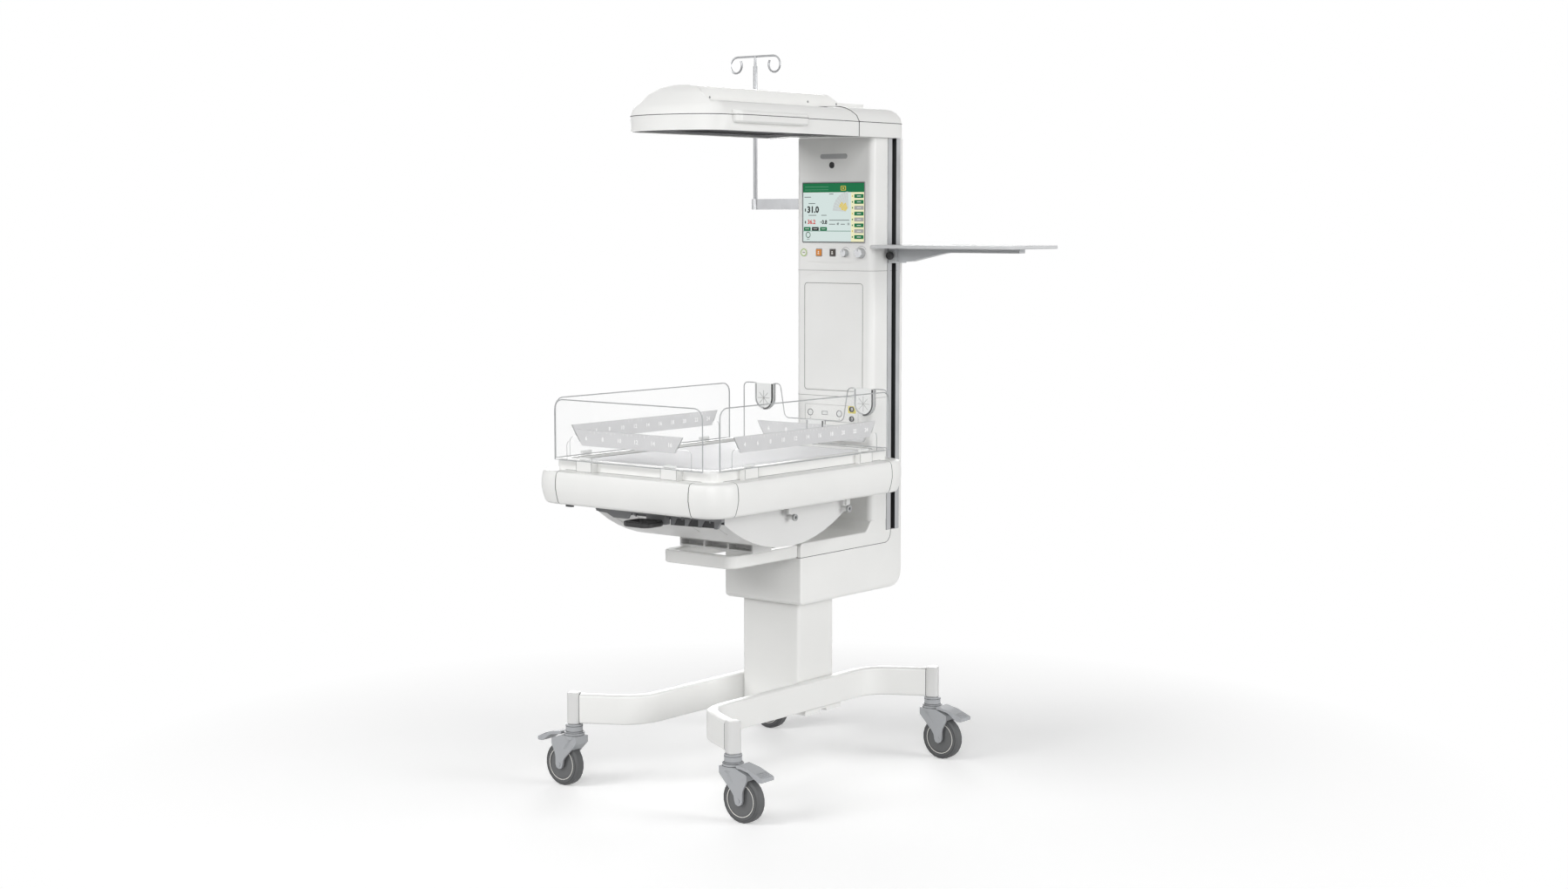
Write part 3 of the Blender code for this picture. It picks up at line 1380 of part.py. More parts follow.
def build_spine():
    """Rear spine between the two slotted rails."""
    spine_x = SPINE_W / 2
    cover_x = TOWER_W / 2
    front = TOWER_SHELL_REAR + GAP
    cover_y = HOUSING_REAR - SPINE_COVER_D
    outline = rounded([
        (-spine_x, front, 0.0),
        (spine_x, front, 0.0),
        (spine_x, cover_y, 0.0),
        (cover_x, cover_y, 0.0),
        (cover_x, HOUSING_REAR, TOWER_R * 0.6),
        (-cover_x, HOUSING_REAR, TOWER_R * 0.6),
        (-cover_x, cover_y, 0.0),
        (-spine_x, cover_y, 0.0),
    ], 3)
    add(plate("tower_spine", [outline], "XY", TOWER_Z, TOWER_TOP), LIFT, WHITE)

    inner_x = spine_x + GAP
    outer_x = RAIL_FACE_X
    y0 = RAIL_Y - RAIL_D / 2
    y1 = RAIL_Y + RAIL_D / 2
    mouth = RAIL_SLOT / 2
    wide = mouth + RAIL_UNDERCUT
    lip_x = outer_x - RAIL_LIP
    deep_x = outer_x - RAIL_SLOT_DEEP
    right = [
        (inner_x, y0), (outer_x, y0), (outer_x, RAIL_Y - mouth), (lip_x, RAIL_Y - mouth),
        (lip_x, RAIL_Y - wide), (deep_x, RAIL_Y - wide), (deep_x, RAIL_Y + wide), (lip_x, RAIL_Y + wide),
        (lip_x, RAIL_Y + mouth), (outer_x, RAIL_Y + mouth), (outer_x, y1), (inner_x, y1),
    ]
    for name, side, outline in (("side_rail_left", -1, mirrored(right)), ("side_rail_right", 1, right)):
        rail = add(plate(name, [outline], "XY", RAIL_Z, TOWER_TOP), LIFT, ALLOY)
        # Fine joint line between the two lengths of the rail, level with the upper seam of the covers
        xs = sorted((side * (outer_x - RAIL_JOINT), side * (outer_x + RAIL_LIP)))
        low = (xs[0], y0 - RAIL_LIP, TOWER_SEAM_HIGH - RAIL_JOINT)
        cut(rail, block(name + "_joint", low, (xs[1], y1 + RAIL_LIP, TOWER_SEAM_HIGH)), LIFT)


def build_controls():
    """Push buttons and rotary knobs under the display, each in its own well."""
    panel = bpy.data.objects["control_panel"]
    face = TOWER_FRONT
    wells = [rod("well", (ROUND_BUTTON_X, face - BUTTON_DEEP, CONTROL_Z), BUTTON_DEEP * 2 + BUTTON_TRAVEL,
                 ROUND_BUTTON_R + GAP, "Y", 20)]
    half = SQUARE_BUTTON_W / 2
    for x in SQUARE_BUTTON_XS:
        low = (x - half - GAP, face - BUTTON_DEEP, CONTROL_Z - half - GAP)
        high = (x + half + GAP, face + BUTTON_DEEP + BUTTON_TRAVEL, CONTROL_Z + half + GAP)
        wells.append(block("well", low, high))
    for x in KNOB_XS:
        start = (x, face - KNOB_SHAFT_L, CONTROL_Z)
        wells.append(rod("well", start, KNOB_SHAFT_L * 2, KNOB_SHAFT_R + GAP, "Y", 12))
    cut(panel, group("control_wells", wells), LIFT)

    start = face - BUTTON_PROUD
    round_body = Body("button_start", (ROUND_BUTTON_X, face, CONTROL_Z), LIFT)
    length = BUTTON_PROUD + BUTTON_DEEP - GAP
    button = rod("button_start", (ROUND_BUTTON_X, start, CONTROL_Z), length, ROUND_BUTTON_R, "Y", 20)
    soften(button, BUTTON_EDGE, 1)
    add(button, round_body, GREEN)
    for name, x, material in zip(("button_alarm", "button_heat"), SQUARE_BUTTON_XS, (ORANGE, BLACK)):
        body = Body(name, (x, face, CONTROL_Z), LIFT)
        low = (x - half, start, CONTROL_Z - half)
        high = (x + half, start + length, CONTROL_Z + half)
        button = block(name, low, high)
        soften(button, BUTTON_EDGE, 1)
        add(button, body, material)
    for name, x, radius, length in zip(("knob_small", "knob_large"), KNOB_XS, KNOB_RS, KNOB_LENGTHS):
        body = Body(name, (x, face, CONTROL_Z), LIFT)
        profile = [
            (0.0, length),
            (radius * 0.88, length),
            (radius * 0.94, length * 0.92),
            (radius, GAP + length * 0.1),
            (radius, GAP),
            (KNOB_SHAFT_R, GAP),
            (KNOB_SHAFT_R, GAP - KNOB_SHAFT_L + RUN),
            (0.0, GAP - KNOB_SHAFT_L + RUN),
        ]
        outward = Matrix.Translation((x, face, CONTROL_Z)) @ Matrix.Rotation(math.radians(90), 4, "X")
        add(turned(name, profile, 16, outward), body, SILVER)


def hood_plan(inset, nose_inset, rear=HOOD_REAR):
    """Plan of the hood: straight sides, an elliptical nose and rounded rear corners."""
    x = HOOD_W / 2 - inset
    shoulder = HOOD_TIP + HOOD_NOSE
    nose = HOOD_NOSE - nose_inset
    steps = 14
    outline = []
    for step in range(steps + 1):
        turn = math.pi * step / steps
        outline.append(Vector((-x * math.cos(turn), shoulder - nose * math.sin(turn))))
    end = rear - inset
    corner = max(HOOD_REAR_R - inset, HOOD_WALL)
    for side in (1, -1):
        for step in range(4):
            turn = math.pi / 2 * (step if side > 0 else 3 - step) / 3
            outline.append(Vector((side * (x - corner + corner * math.cos(turn)),
                                   end - corner + corner * math.sin(turn))))
    return outline


def hood_dome(name, levels, rear=HOOD_REAR):
    """A solid through hood plans at (inset, nose inset, height) levels."""
    rings = []
    for inset, nose_inset, height in levels:
        rings.append([Vector((*point, height)) for point in hood_plan(inset, nose_inset, rear)])
    return loft(name, rings)


def swivel_drum(name, radius, high):
    """A drum about the swivel axis, from below the hood up to a height."""
    low = HOOD_Z - HOOD_WALL
    return rod(name, (0.0, SWIVEL_Y, low), high - low, radius, "Z", 48)


def grip_half(side, root, levels):
    """Half of a side handle through (inset, height) levels, rooted in the hood at an x."""
    rings = []
    for inset, height in levels:
        tip = side * (HOOD_W / 2 + HOOD_HANDLE_D - inset)
        y0 = HOOD_HANDLE_Y0 + inset
        y1 = HOOD_HANDLE_Y1 - inset
        corner_r = (HOOD_HANDLE_D - inset) * FULL_ROUND
        outline = rounded([
            (side * root, y0, 0.0),
            (side * root, y1, 0.0),
            (tip, y1, corner_r),
            (tip, y0, corner_r),
        ], 4)
        rings.append([Vector((*point, height)) for point in outline])
    return loft("grip", rings)


def build_hood():
    """Lower shell, domed cover with pivot tongue, dark base panel, heater and side handles."""
    low = HOOD_Z
    seam = HOOD_SEAM
    over = HOOD_RIDGE_Z + HOOD_WALL
    dome = [(inset, nose_inset, seam + rise) for inset, nose_inset, rise in HOOD_DOME]
    top_in, top_nose_in, top_z = dome[PIVOT_LEVELS - 1]
    pivot_levels = [(0.0, 0.0, low)] + dome[:PIVOT_LEVELS]
    pivot_levels.append((top_in + PIVOT_EDGE, top_nose_in + PIVOT_EDGE, PIVOT_TOP))
    pivot = hood_dome("hood_pivot", pivot_levels)
    add(pivot, LIFT, WHITE)
    keep_inside(pivot, swivel_drum("pivot_drum", SWIVEL_R, over), LIFT)
    pin_floor = PIVOT_TOP - PIVOT_PIN_L
    pin_hole = rod("pin_hole", (0.0, SWIVEL_Y, pin_floor - GAP), PIVOT_PIN_L * 2, PIVOT_PIN_R + GAP, "Z", 16)
    cut(pivot, pin_hole, LIFT)

    shell = hood_dome("hood_shell", [(0.0, 0.0, low), (0.0, 0.0, seam - GAP)])
    add(shell, HOOD, WHITE)
    cut(shell, swivel_drum("shell_drum", SWIVEL_R + RUN, over), HOOD)
    wall = HOOD_WALL
    hollow = hood_dome("shell_hollow", [(wall, wall, low - wall), (wall, wall, seam + wall)])
    cut(hollow, swivel_drum("hollow_drum", SWIVEL_R + RUN + wall, over), HOOD)
    cut(shell, hollow, HOOD)

    # The dome keeps its full height at the nose and in the ridge, between two flat shoulders
    cover = hood_dome("hood_cover", dome, HOOD_COVER_REAR)
    add(cover, HOOD, WHITE)
    ridge = HOOD_RIDGE_W / 2
    shoulders = []
    for side in (-1, 1):
        outline = rounded([
            (side * ridge, HOOD_SHOULDER_Y, HOOD_RIDGE_R),
            (side * HOOD_W, HOOD_SHOULDER_Y, 0.0),
            (side * HOOD_W, HOOD_REAR, 0.0),
            (side * ridge, HOOD_REAR, 0.0),
        ], 4)
        shoulders.append(plate("shoulder", [outline], "XY", HOOD_CREASE_Z, over))
    cut(cover, group("hood_shoulders", shoulders), HOOD)
    tongue_z = PIVOT_TOP + GAP
    cut(cover, swivel_drum("cover_drum", SWIVEL_R + RUN, tongue_z), HOOD)
    half = HOOD_RIDGE_W / 2 - TONGUE_INSET
    tongue_y0 = SWIVEL_Y - SWIVEL_R - half
    tongue_plan = rounded([
        (-half, tongue_y0, 0.0),
        (half, tongue_y0, 0.0),
        (half, SWIVEL_Y + half, half * FULL_ROUND),
        (-half, SWIVEL_Y + half, half * FULL_ROUND),
    ], 7)
    fuse(cover, plate("tongue", [tongue_plan], "XY", tongue_z, tongue_z + TONGUE_T), HOOD)
    pin = rod("pivot_pin", (0.0, SWIVEL_Y, pin_floor), PIVOT_PIN_L + TONGUE_T, PIVOT_PIN_R, "Z", 16)
    fuse(cover, pin, HOOD)

    # Each side handle is parted by the seam, its lower half on the shell and its upper half on the cover
    edge = HOOD_HANDLE_EDGE
    lower = [(edge, HOOD_HANDLE_Z0), (0.0, HOOD_HANDLE_Z0 + edge), (0.0, seam - GAP)]
    upper = [(0.0, seam), (0.0, HOOD_HANDLE_Z1 - edge), (edge, HOOD_HANDLE_Z1)]
    shell_root = HOOD_W / 2 - wall / 2
    cover_root = HOOD_W / 2 - wall * 2
    fuse(shell, group("lower_grips", [grip_half(side, shell_root, lower) for side in (-1, 1)]), HOOD)
    fuse(cover, group("upper_grips", [grip_half(side, cover_root, upper) for side in (-1, 1)]), HOOD)
    build_heater()


def build_heater():
    """Dark base panel with a window, guard grille, reflector trough and heater rods."""
    wall = HOOD_WALL + GAP
    z0 = HOOD_Z + HOOD_BASE_RISE
    z1 = z0 + HOOD_BASE_T
    x = WINDOW_W / 2
    panel = hood_dome("hood_base", [(wall, wall, z0), (wall, wall, z1)])
    add(panel, HOOD, DARK)
    drum_r = SWIVEL_R + RUN + wall
    cut(panel, swivel_drum("base_drum", drum_r, HOOD_RIDGE_Z), HOOD)
    window = rectangle(-x, x, WINDOW_Y0, WINDOW_Y1, HOOD_WALL)
    cut(panel, plate("heater_window", [window], "XY", z0 - wall, z1 + wall), HOOD)

    edge = rectangle(-x + GAP, x - GAP, WINDOW_Y0 + GAP, WINDOW_Y1 - GAP, HOOD_WALL)
    pitch = (WINDOW_Y1 - WINDOW_Y0 - GUARD_BAR) / GUARD_SLOTS
    slots = []
    for index in range(GUARD_SLOTS):
        start = WINDOW_Y0 + GUARD_BAR + pitch * index
        slots.append(rectangle(-x + GUARD_BAR * 2, x - GUARD_BAR * 2, start, start + pitch - GUARD_BAR, 0.0))
    add(plate("heater_guard", [edge] + slots, "XY", z0, z0 + GUARD_T), HOOD, STEEL)

    thick = REFLECTOR_T
    foot = z1 + GAP
    top = foot + REFLECTOR_H
    flange = HOOD_WALL * 2
    half_top = REFLECTOR_TOP_W / 2
    outline = [
        Vector((-x - flange, foot)), Vector((-x, foot)), Vector((-half_top + thick, top - thick)),
        Vector((half_top - thick, top - thick)), Vector((x, foot)), Vector((x + flange, foot)),
        Vector((x + flange, foot + thick)), Vector((x + thick, foot + thick)), Vector((half_top, top)),
        Vector((-half_top, top)), Vector((-x - thick, foot + thick)), Vector((-x - flange, foot + thick)),
    ]
    trough = plate("reflector", [outline], "XZ", WINDOW_Y0 - thick, WINDOW_Y1 + thick)
    add(trough, HOOD, REFLECTOR)
    end_outline = [Vector((-x - thick, foot)), Vector((x + thick, foot)), Vector((half_top, top)),
                   Vector((-half_top, top))]
    ends = [plate("end", [end_outline], "XZ", WINDOW_Y0 - thick, WINDOW_Y0),
            plate("end", [end_outline], "XZ", WINDOW_Y1, WINDOW_Y1 + thick)]
    fuse(trough, group("reflector_ends", ends), HOOD)
    bend_r = ROD_PITCH / 2
    bend_y = WINDOW_Y0 + bend_r + ROD_R * 2
    hairpin = [Vector((bend_r, WINDOW_Y1 - GAP, ROD_Z))]
    steps = 10
    for step in range(steps + 1):
        turn = math.pi * step / steps
        hairpin.append(Vector((bend_r * math.cos(turn), bend_y - bend_r * math.sin(turn), ROD_Z)))
    hairpin.append(Vector((-bend_r, WINDOW_Y1 - GAP, ROD_Z)))
    add(wire("heater_tube", hairpin, ROD_R, 2), HOOD, STEEL)


def slot_foot(side, low, high):
    """The T-shaped foot of a clamp in a rail's slot."""
    face = RAIL_FACE_X
    stem = RAIL_SLOT / 2 - RUN
    wide = RAIL_SLOT / 2 + RAIL_UNDERCUT - RUN
    back = face - RAIL_LIP - RUN
    deep = face - RAIL_SLOT_DEEP + RUN
    outline = [
        Vector((deep, RAIL_Y - wide)), Vector((back, RAIL_Y - wide)), Vector((back, RAIL_Y - stem)),
        Vector((face + CLAMP_T / 2, RAIL_Y - stem)), Vector((face + CLAMP_T / 2, RAIL_Y + stem)),
        Vector((back, RAIL_Y + stem)), Vector((back, RAIL_Y + wide)), Vector((deep, RAIL_Y + wide)),
    ]
    if side < 0:
        outline = mirrored(outline)
    return plate("slot_foot", [outline], "XY", low, high)


def build_pole():
    """Infusion pole on the left rail: clamp and bar, tube, and the hook rod that slides in it."""
    body = Body("pole_mount", (-RAIL_FACE_X, RAIL_Y, BAR_Z0), LIFT)
    face = -(RAIL_FACE_X + GAP)
    y0 = RAIL_Y - RAIL_D / 2
    y1 = RAIL_Y + RAIL_D / 2
    bracket = block("pole_bracket", (face - CLAMP_T, y0, POLE_CLAMP_Z0), (face, y1, BAR_Z1))
    add(bracket, body, ALLOY)
    low = (-POLE_X, RAIL_Y - BAR_T / 2, BAR_Z0)
    high = (face - CLAMP_T / 2, RAIL_Y + BAR_T / 2, BAR_Z1)
    fuse(bracket, block("pole_bar", low, high), body)
    fuse(bracket, slot_foot(-1, POLE_CLAMP_Z0, BAR_Z1), body)
    fuse(bracket, rod("pole_socket", (-POLE_X, RAIL_Y, BAR_Z0), BAR_H, POLE_SOCKET_R, "Z", 20), body)
    bore = rod("pole_bore", (-POLE_X, RAIL_Y, BAR_Z0 + CLAMP_T), BAR_H, POLE_R + GAP, "Z", 16)
    cut(bracket, bore, body)
    outer = circle(-POLE_X, RAIL_Y, POLE_R, 16)
    inner = circle(-POLE_X, RAIL_Y, POLE_BORE_R, 12)
    add(plate("pole_tube", [outer, inner], "XY", BAR_Z0 + CLAMP_T + GAP, POLE_TOP), body, STEEL)

    hook_body = Body("pole_hook", (-POLE_X, RAIL_Y, HOOK_Z), body)
    mast = rod("pole_hook", (-POLE_X, RAIL_Y, HOOK_ROD_Z), HOOK_Z - HOOK_ROD_Z, HOOK_ROD_R, "Z", 12)
    add(mast, hook_body, STEEL)
    # Each end of the cross wire turns down into an open loop that passes behind or before the wire
    turns = 14
    side_step = HOOK_WIRE_R * 3
    route = []
    for side in (1, -1):
        loop = []
        for step in range(turns + 1):
            turn = math.radians(90 - 300 * step / turns)
            x = HOOK_HALF + HOOK_LOOP_R * math.cos(turn)
            z = HOOK_Z - HOOK_LOOP_R + HOOK_LOOP_R * math.sin(turn)
            loop.append(Vector((-POLE_X + side * x, RAIL_Y + side * side_step * step / turns, z)))
        route = list(reversed(loop)) + route if side > 0 else route + loop
    fuse(mast, wire("hook_wire", route, HOOK_WIRE_R, 1), hook_body)


def build_shelf():
    """Shelf on the right rail: clamp with a tapered arm, plate and clamp knob."""
    top = SHELF_TOP - SHELF_T - GAP
    clamp_z = top - SHELF_CLAMP_H
    body = Body("shelf", (RAIL_FACE_X, RAIL_Y, top), LIFT)
    face = RAIL_FACE_X + GAP
    front = RAIL_Y - SHELF_CLAMP_D / 2
    back = RAIL_Y + SHELF_CLAMP_D / 2
    clamp = block("shelf_bracket", (face, front, clamp_z), (face + SHELF_CLAMP_T, back, top))
    add(clamp, body, ALLOY)
    root_x = face + SHELF_CLAMP_T / 2
    arm_side = rounded([
        (root_x, clamp_z + CLAMP_T / 2, 0.0),
        (root_x + SHELF_CLAMP_T * 2, clamp_z + CLAMP_T / 2, SHELF_ARM_BEND_R),
        (root_x + SHELF_CLAMP_T * 7, top - SHELF_ARM_TIP, SHELF_ARM_SWEEP_R),
        (SHELF_ARM_X1, top - SHELF_ARM_TIP, 0.0),
        (SHELF_ARM_X1, top, 0.0),
        (root_x, top, 0.0),
    ], 4)
    arm_half = SHELF_ARM_T / 2
    fuse(clamp, plate("shelf_arm", [arm_side], "XZ", RAIL_Y - arm_half, RAIL_Y + arm_half), body)
    fuse(clamp, slot_foot(1, clamp_z, top), body)
    outline = rectangle(face, SHELF_X1, RAIL_Y - SHELF_D / 2, RAIL_Y + SHELF_D / 2, SHELF_R)
    board = plate("shelf_plate", [outline], "XY", SHELF_TOP - SHELF_T, SHELF_TOP)
    soften(board, SHELF_EDGE, 1, 60.0)
    add(board, body, PAINT)

    knob_x = face + SHELF_CLAMP_T / 2
    knob_z = clamp_z + SHELF_CLAMP_H / 2
    hole_r = CLAMP_SCREW_R + GAP
    hole = rod("screw_hole", (knob_x, front - CLAMP_T, knob_z), CLAMP_T + CLAMP_SCREW_L, hole_r, "Y", 12)
    cut(clamp, hole, body)
    knob_body = Body("shelf_knob", (knob_x, front, knob_z), body)
    profile = [
        (0.0, CLAMP_KNOB_L),
        (CLAMP_KNOB_R * 0.85, CLAMP_KNOB_L),
        (CLAMP_KNOB_R, CLAMP_KNOB_L * 0.85),
        (CLAMP_KNOB_R, CLAMP_KNOB_L * 0.4),
        (CLAMP_KNOB_R * 0.6, CLAMP_KNOB_L * 0.3),
        (CLAMP_KNOB_R * 0.6, GAP),
        (CLAMP_SCREW_R, GAP),
        (CLAMP_SCREW_R, -CLAMP_SCREW_L + RUN),
        (0.0, -CLAMP_SCREW_L + RUN),
    ]
    outward = Matrix.Translation((knob_x, front, knob_z)) @ Matrix.Rotation(math.radians(90), 4, "X")
    add(turned("shelf_knob", profile, 16, outward), knob_body, BLACK)


build_base()
build_column()
build_casters()
build_housing()
build_support()
build_cradle()
build_bed()
build_panels()
build_tower()
build_controls()
build_hood()
build_pole()
build_shelf()
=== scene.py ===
"""Looks of the infant radiant warmer: materials, small details, mattress, studio and camera."""
import math
from collections import defaultdict

import bmesh
import bpy
from mathutils import Matrix, Vector


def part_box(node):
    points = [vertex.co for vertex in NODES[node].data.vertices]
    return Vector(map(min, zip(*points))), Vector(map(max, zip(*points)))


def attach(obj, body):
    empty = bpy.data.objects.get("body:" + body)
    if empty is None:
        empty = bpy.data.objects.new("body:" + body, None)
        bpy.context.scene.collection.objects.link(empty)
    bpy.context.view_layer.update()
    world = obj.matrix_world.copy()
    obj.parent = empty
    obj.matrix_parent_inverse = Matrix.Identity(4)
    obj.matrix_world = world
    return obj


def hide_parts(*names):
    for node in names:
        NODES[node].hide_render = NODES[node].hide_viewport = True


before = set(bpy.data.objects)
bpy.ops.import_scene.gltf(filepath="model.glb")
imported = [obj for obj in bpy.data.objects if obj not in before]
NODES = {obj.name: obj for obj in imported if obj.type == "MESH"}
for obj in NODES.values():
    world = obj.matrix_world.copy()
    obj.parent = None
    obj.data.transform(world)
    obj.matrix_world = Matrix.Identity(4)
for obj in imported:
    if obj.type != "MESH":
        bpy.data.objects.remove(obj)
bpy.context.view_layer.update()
CORNERS = ("front_left", "front_right", "rear_left", "rear_right")
# Each clear panel with the axis square to its sheet and the way that its outer face looks
PANELS = {"front": (1, -1), "rear": (1, 1), "left": (0, -1), "right": (0, 1)}
SIDES = (-1, 1)
ALONG_X = (1.0, 0.0, 0.0)
ALONG_Y = (0.0, 1.0, 0.0)
ALONG_Z = (0.0, 0.0, 1.0)
UPRIGHT = Matrix.Rotation(math.radians(90), 4, "X")


def box(node):
    """Lowest and highest corner of a CAD node as vectors."""
    low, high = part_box(node)
    return Vector(low), Vector(high)


def centre(node):
    low, high = box(node)
    return (low + high) / 2


MID_X = centre("tower_door").x
MID_Y = (centre("caster_wheel_front_left").y + centre("caster_wheel_rear_left").y) / 2


def row(x, y, z):
    """A point given from the middle plane and midway between the casters, in the row frame."""
    return Vector((x + MID_X, y + MID_Y, z))


# Materials


def linear(red, green, blue):
    """A colour written in screen values from 0 to 255."""
    def channel(value):
        value /= 255
        return value / 12.92 if value <= 0.04045 else ((value + 0.055) / 1.055) ** 2.4
    return (channel(red), channel(green), channel(blue), 1.0)


def darker(colour, share):
    return [channel * share for channel in colour[:3]] + [1.0]


class Nodes:
    """Short ways to add nodes to a tree."""

    def __init__(self, tree):
        self.tree = tree

    def feed(self, socket, value):
        """Link a socket to an output, or set its constant."""
        if isinstance(value, bpy.types.NodeSocket):
            self.tree.links.new(value, socket)
        else:
            socket.default_value = value

    def node(self, kind, settings=None, **inputs):
        """A new node with its settings, and with inputs given by name."""
        made = self.tree.nodes.new(kind)
        for name, value in (settings or {}).items():
            setattr(made, name, value)
        for name, value in inputs.items():
            self.feed(made.inputs[name], value)
        return made

    def first(self, made, *values):
        """A node's first output, with inputs given in order."""
        for socket, value in zip(made.inputs, values):
            self.feed(socket, value)
        return made.outputs[0]

    def math(self, operation, *values):
        return self.first(self.node("ShaderNodeMath", {"operation": operation}), *values)

    def seen(self):
        """1 for the rays that show a background: camera, glossy and transmission rays."""
        rays = self.node("ShaderNodeLightPath").outputs
        bounced = self.math("MAXIMUM", rays["Is Glossy Ray"], rays["Is Transmission Ray"])
        return self.math("MAXIMUM", rays["Is Camera Ray"], bounced)


class Look(Nodes):
    """A Principled material."""

    def __init__(self, name, colour, roughness, metallic=0.0, specular=0.5):
        self.material = bpy.data.materials.new(name)
        self.material.use_nodes = True
        super().__init__(self.material.node_tree)
        self.shader = self.tree.nodes["Principled BSDF"]
        self.colour = colour
        self.roughness = roughness
        self.set("Base Color", colour)
        self.set("Roughness", roughness)
        self.set("Metallic", metallic)
        self.set("Specular IOR Level", specular)
        self.place = self.node("ShaderNodeTexCoord").outputs["Object"]

    def set(self, name, value):
        self.feed(self.shader.inputs[name], value)

    def axes(self):
        """Object coordinates as three numbers."""
        return self.node("ShaderNodeSeparateXYZ", Vector=self.place).outputs

    def away(self, value, middle):
        """How far a coordinate is from a middle."""
        return self.math("ABSOLUTE", self.math("SUBTRACT", value, middle))

    def noise(self, scale, stretch=(1.0, 1.0, 1.0), detail=2.0):
        place = self.node("ShaderNodeMapping", Vector=self.place, Scale=stretch).outputs[0]
        return self.node("ShaderNodeTexNoise", Vector=place, Scale=scale, Detail=detail).outputs["Fac"]

    def span(self, value, low, high, start=0.3, end=0.7):
        """A value between start and end, spread from low to high."""
        limits = {"From Min": start, "From Max": end, "To Min": low, "To Max": high}
        return self.node("ShaderNodeMapRange", Value=value, **limits).outputs[0]

    def mix(self, share, first, second):
        made = self.node("ShaderNodeMix", {"data_type": "RGBA"}, Factor=share, A=first, B=second)
        return made.outputs["Result"]

    def paint(self, share, colour):
        """Cover a share of the surface with another colour."""
        links = self.shader.inputs["Base Color"].links
        below = links[0].from_socket if links else self.colour
        self.set("Base Color", self.mix(share, below, colour))

    def tint(self, amount, scale):
        """Slow variation of the colour."""
        share = self.span(self.noise(scale), 0.0, 1.0)
        self.set("Base Color", self.mix(share, darker(self.colour, 1 - amount), self.colour))

    def worn(self, amount, scale):
        """Variation of the roughness."""
        self.set("Roughness", self.span(self.noise(scale), self.roughness - amount, self.roughness + amount))

    def bump(self, height, strength, distance):
        made = self.node("ShaderNodeBump", Strength=strength, Distance=distance, Height=height)
        self.set("Normal", made.outputs[0])


def moulded(name, colour, roughness=0.42, grain=1400.0, strength=0.12, specular=0.5):
    """Satin moulding with a fine spark-eroded grain."""
    look = Look(name, colour, roughness, specular=specular)
    look.tint(amount=0.03, scale=5.0)
    look.worn(amount=0.05, scale=9.0)
    look.bump(look.noise(grain), strength, distance=0.0004)
    return look


def coated(name, colour, roughness=0.38, specular=0.5):
    """Powder coat with its orange peel."""
    look = Look(name, colour, roughness, specular=specular)
    look.tint(amount=0.025, scale=4.0)
    look.worn(amount=0.05, scale=14.0)
    look.bump(look.noise(420.0, detail=1.0), strength=0.10, distance=0.0006)
    return look


def smooth_coated(name, colour, roughness=0.48, specular=0.5):
    """Thin paint on rolled sheet, too smooth to show a grain at a low angle."""
    look = Look(name, colour, roughness, specular=specular)
    look.tint(amount=0.03, scale=6.0)
    look.worn(amount=0.06, scale=11.0)
    return look


DRAWN_UP = (1.0, 1.0, 0.02)
DRAWN_BACK = (1.0, 0.02, 1.0)


def brushed(name, colour, roughness, stretch=DRAWN_UP):
    """Metal with fine lines drawn along one axis."""
    look = Look(name, colour, roughness, metallic=1.0)
    scratches = look.noise(900.0, stretch, detail=3.0)
    look.set("Base Color", look.mix(look.span(scratches, 0.0, 1.0), darker(colour, 0.86), colour))
    look.worn(amount=0.06, scale=20.0)
    look.bump(scratches, strength=0.08, distance=0.0002)
    return look


def lit(name, colour):
    """A patch of a lit screen, with the faint grid of its cells."""
    look = Look(name, (0.02, 0.02, 0.02, 1.0), 0.25, specular=0.08)
    cells = look.span(look.noise(2600.0), 0.97, 1.0)
    look.set("Emission Color", look.mix(cells, (0.0, 0.0, 0.0, 1.0), colour))
    look.set("Emission Strength", 0.85)
    return look


def acrylic(name, axis):
    """Clear sheet whose cut edges show grey, the sheet lying square to an axis."""
    look = Look(name, linear(236, 240, 240), 0.06)
    # The normal is read in the sheet's own frame, so that a folded panel stays clear
    turned = look.node("ShaderNodeVectorTransform",
                       {"vector_type": "NORMAL", "convert_from": "WORLD", "convert_to": "OBJECT"},
                       Vector=look.node("ShaderNodeNewGeometry").outputs["True Normal"]).outputs[0]
    facing_out = look.math("ABSOLUTE", look.node("ShaderNodeSeparateXYZ", Vector=turned).outputs[axis])
    edge = look.math("LESS_THAN", facing_out, 0.7)
    haze = look.span(look.noise(30.0), 0.0, 1.0)
    look.set("Base Color", look.mix(haze, linear(242, 243, 243), linear(249, 250, 250)))
    look.paint(edge, linear(172, 174, 175))
    gloss = look.node("ShaderNodeFresnel", IOR=1.45).outputs[0]
    sheen = look.math("MULTIPLY_ADD", gloss, 0.10, 0.008)
    look.set("Alpha", look.math("MAXIMUM", sheen, look.math("MULTIPLY", edge, 0.95)))
    return look


CRADLE_GREY = linear(226, 226, 225)
WHITE = moulded("white_moulding", linear(241, 241, 239))
WARM = moulded("white_cover", linear(243, 243, 241), 0.36, specular=0.3)
COAT = coated("white_powder_coat", linear(238, 238, 236), specular=0.2)
CRADLE_COAT = coated("grey_powder_coat", CRADLE_GREY)
FORK = moulded("grey_nylon", linear(172, 174, 177), 0.48, 1100.0, 0.16)
BLACK = moulded("black_moulding", linear(34, 34, 35), 0.4, 1200.0, 0.2)
DARK = moulded("dark_heat_panel", linear(70, 71, 73), 0.75, 700.0, 0.25, specular=0.1)
HEAT_BLACK = coated("heat_black_coat", linear(48, 48, 50), 0.6, specular=0.2)
# Dark grey for small marks, screws and lines, and also painted shade where it fills the cross frame's
# pockets and marks below the bumper
DARK_MARKS_AND_SHADE = moulded("dark_marks_and_painted_shade", linear(70, 71, 72), 0.7)
SEAM = moulded("seam_shadow", linear(150, 150, 149), 0.7)
GAP_LINE = moulded("joint_gap", linear(46, 46, 46), 0.9)
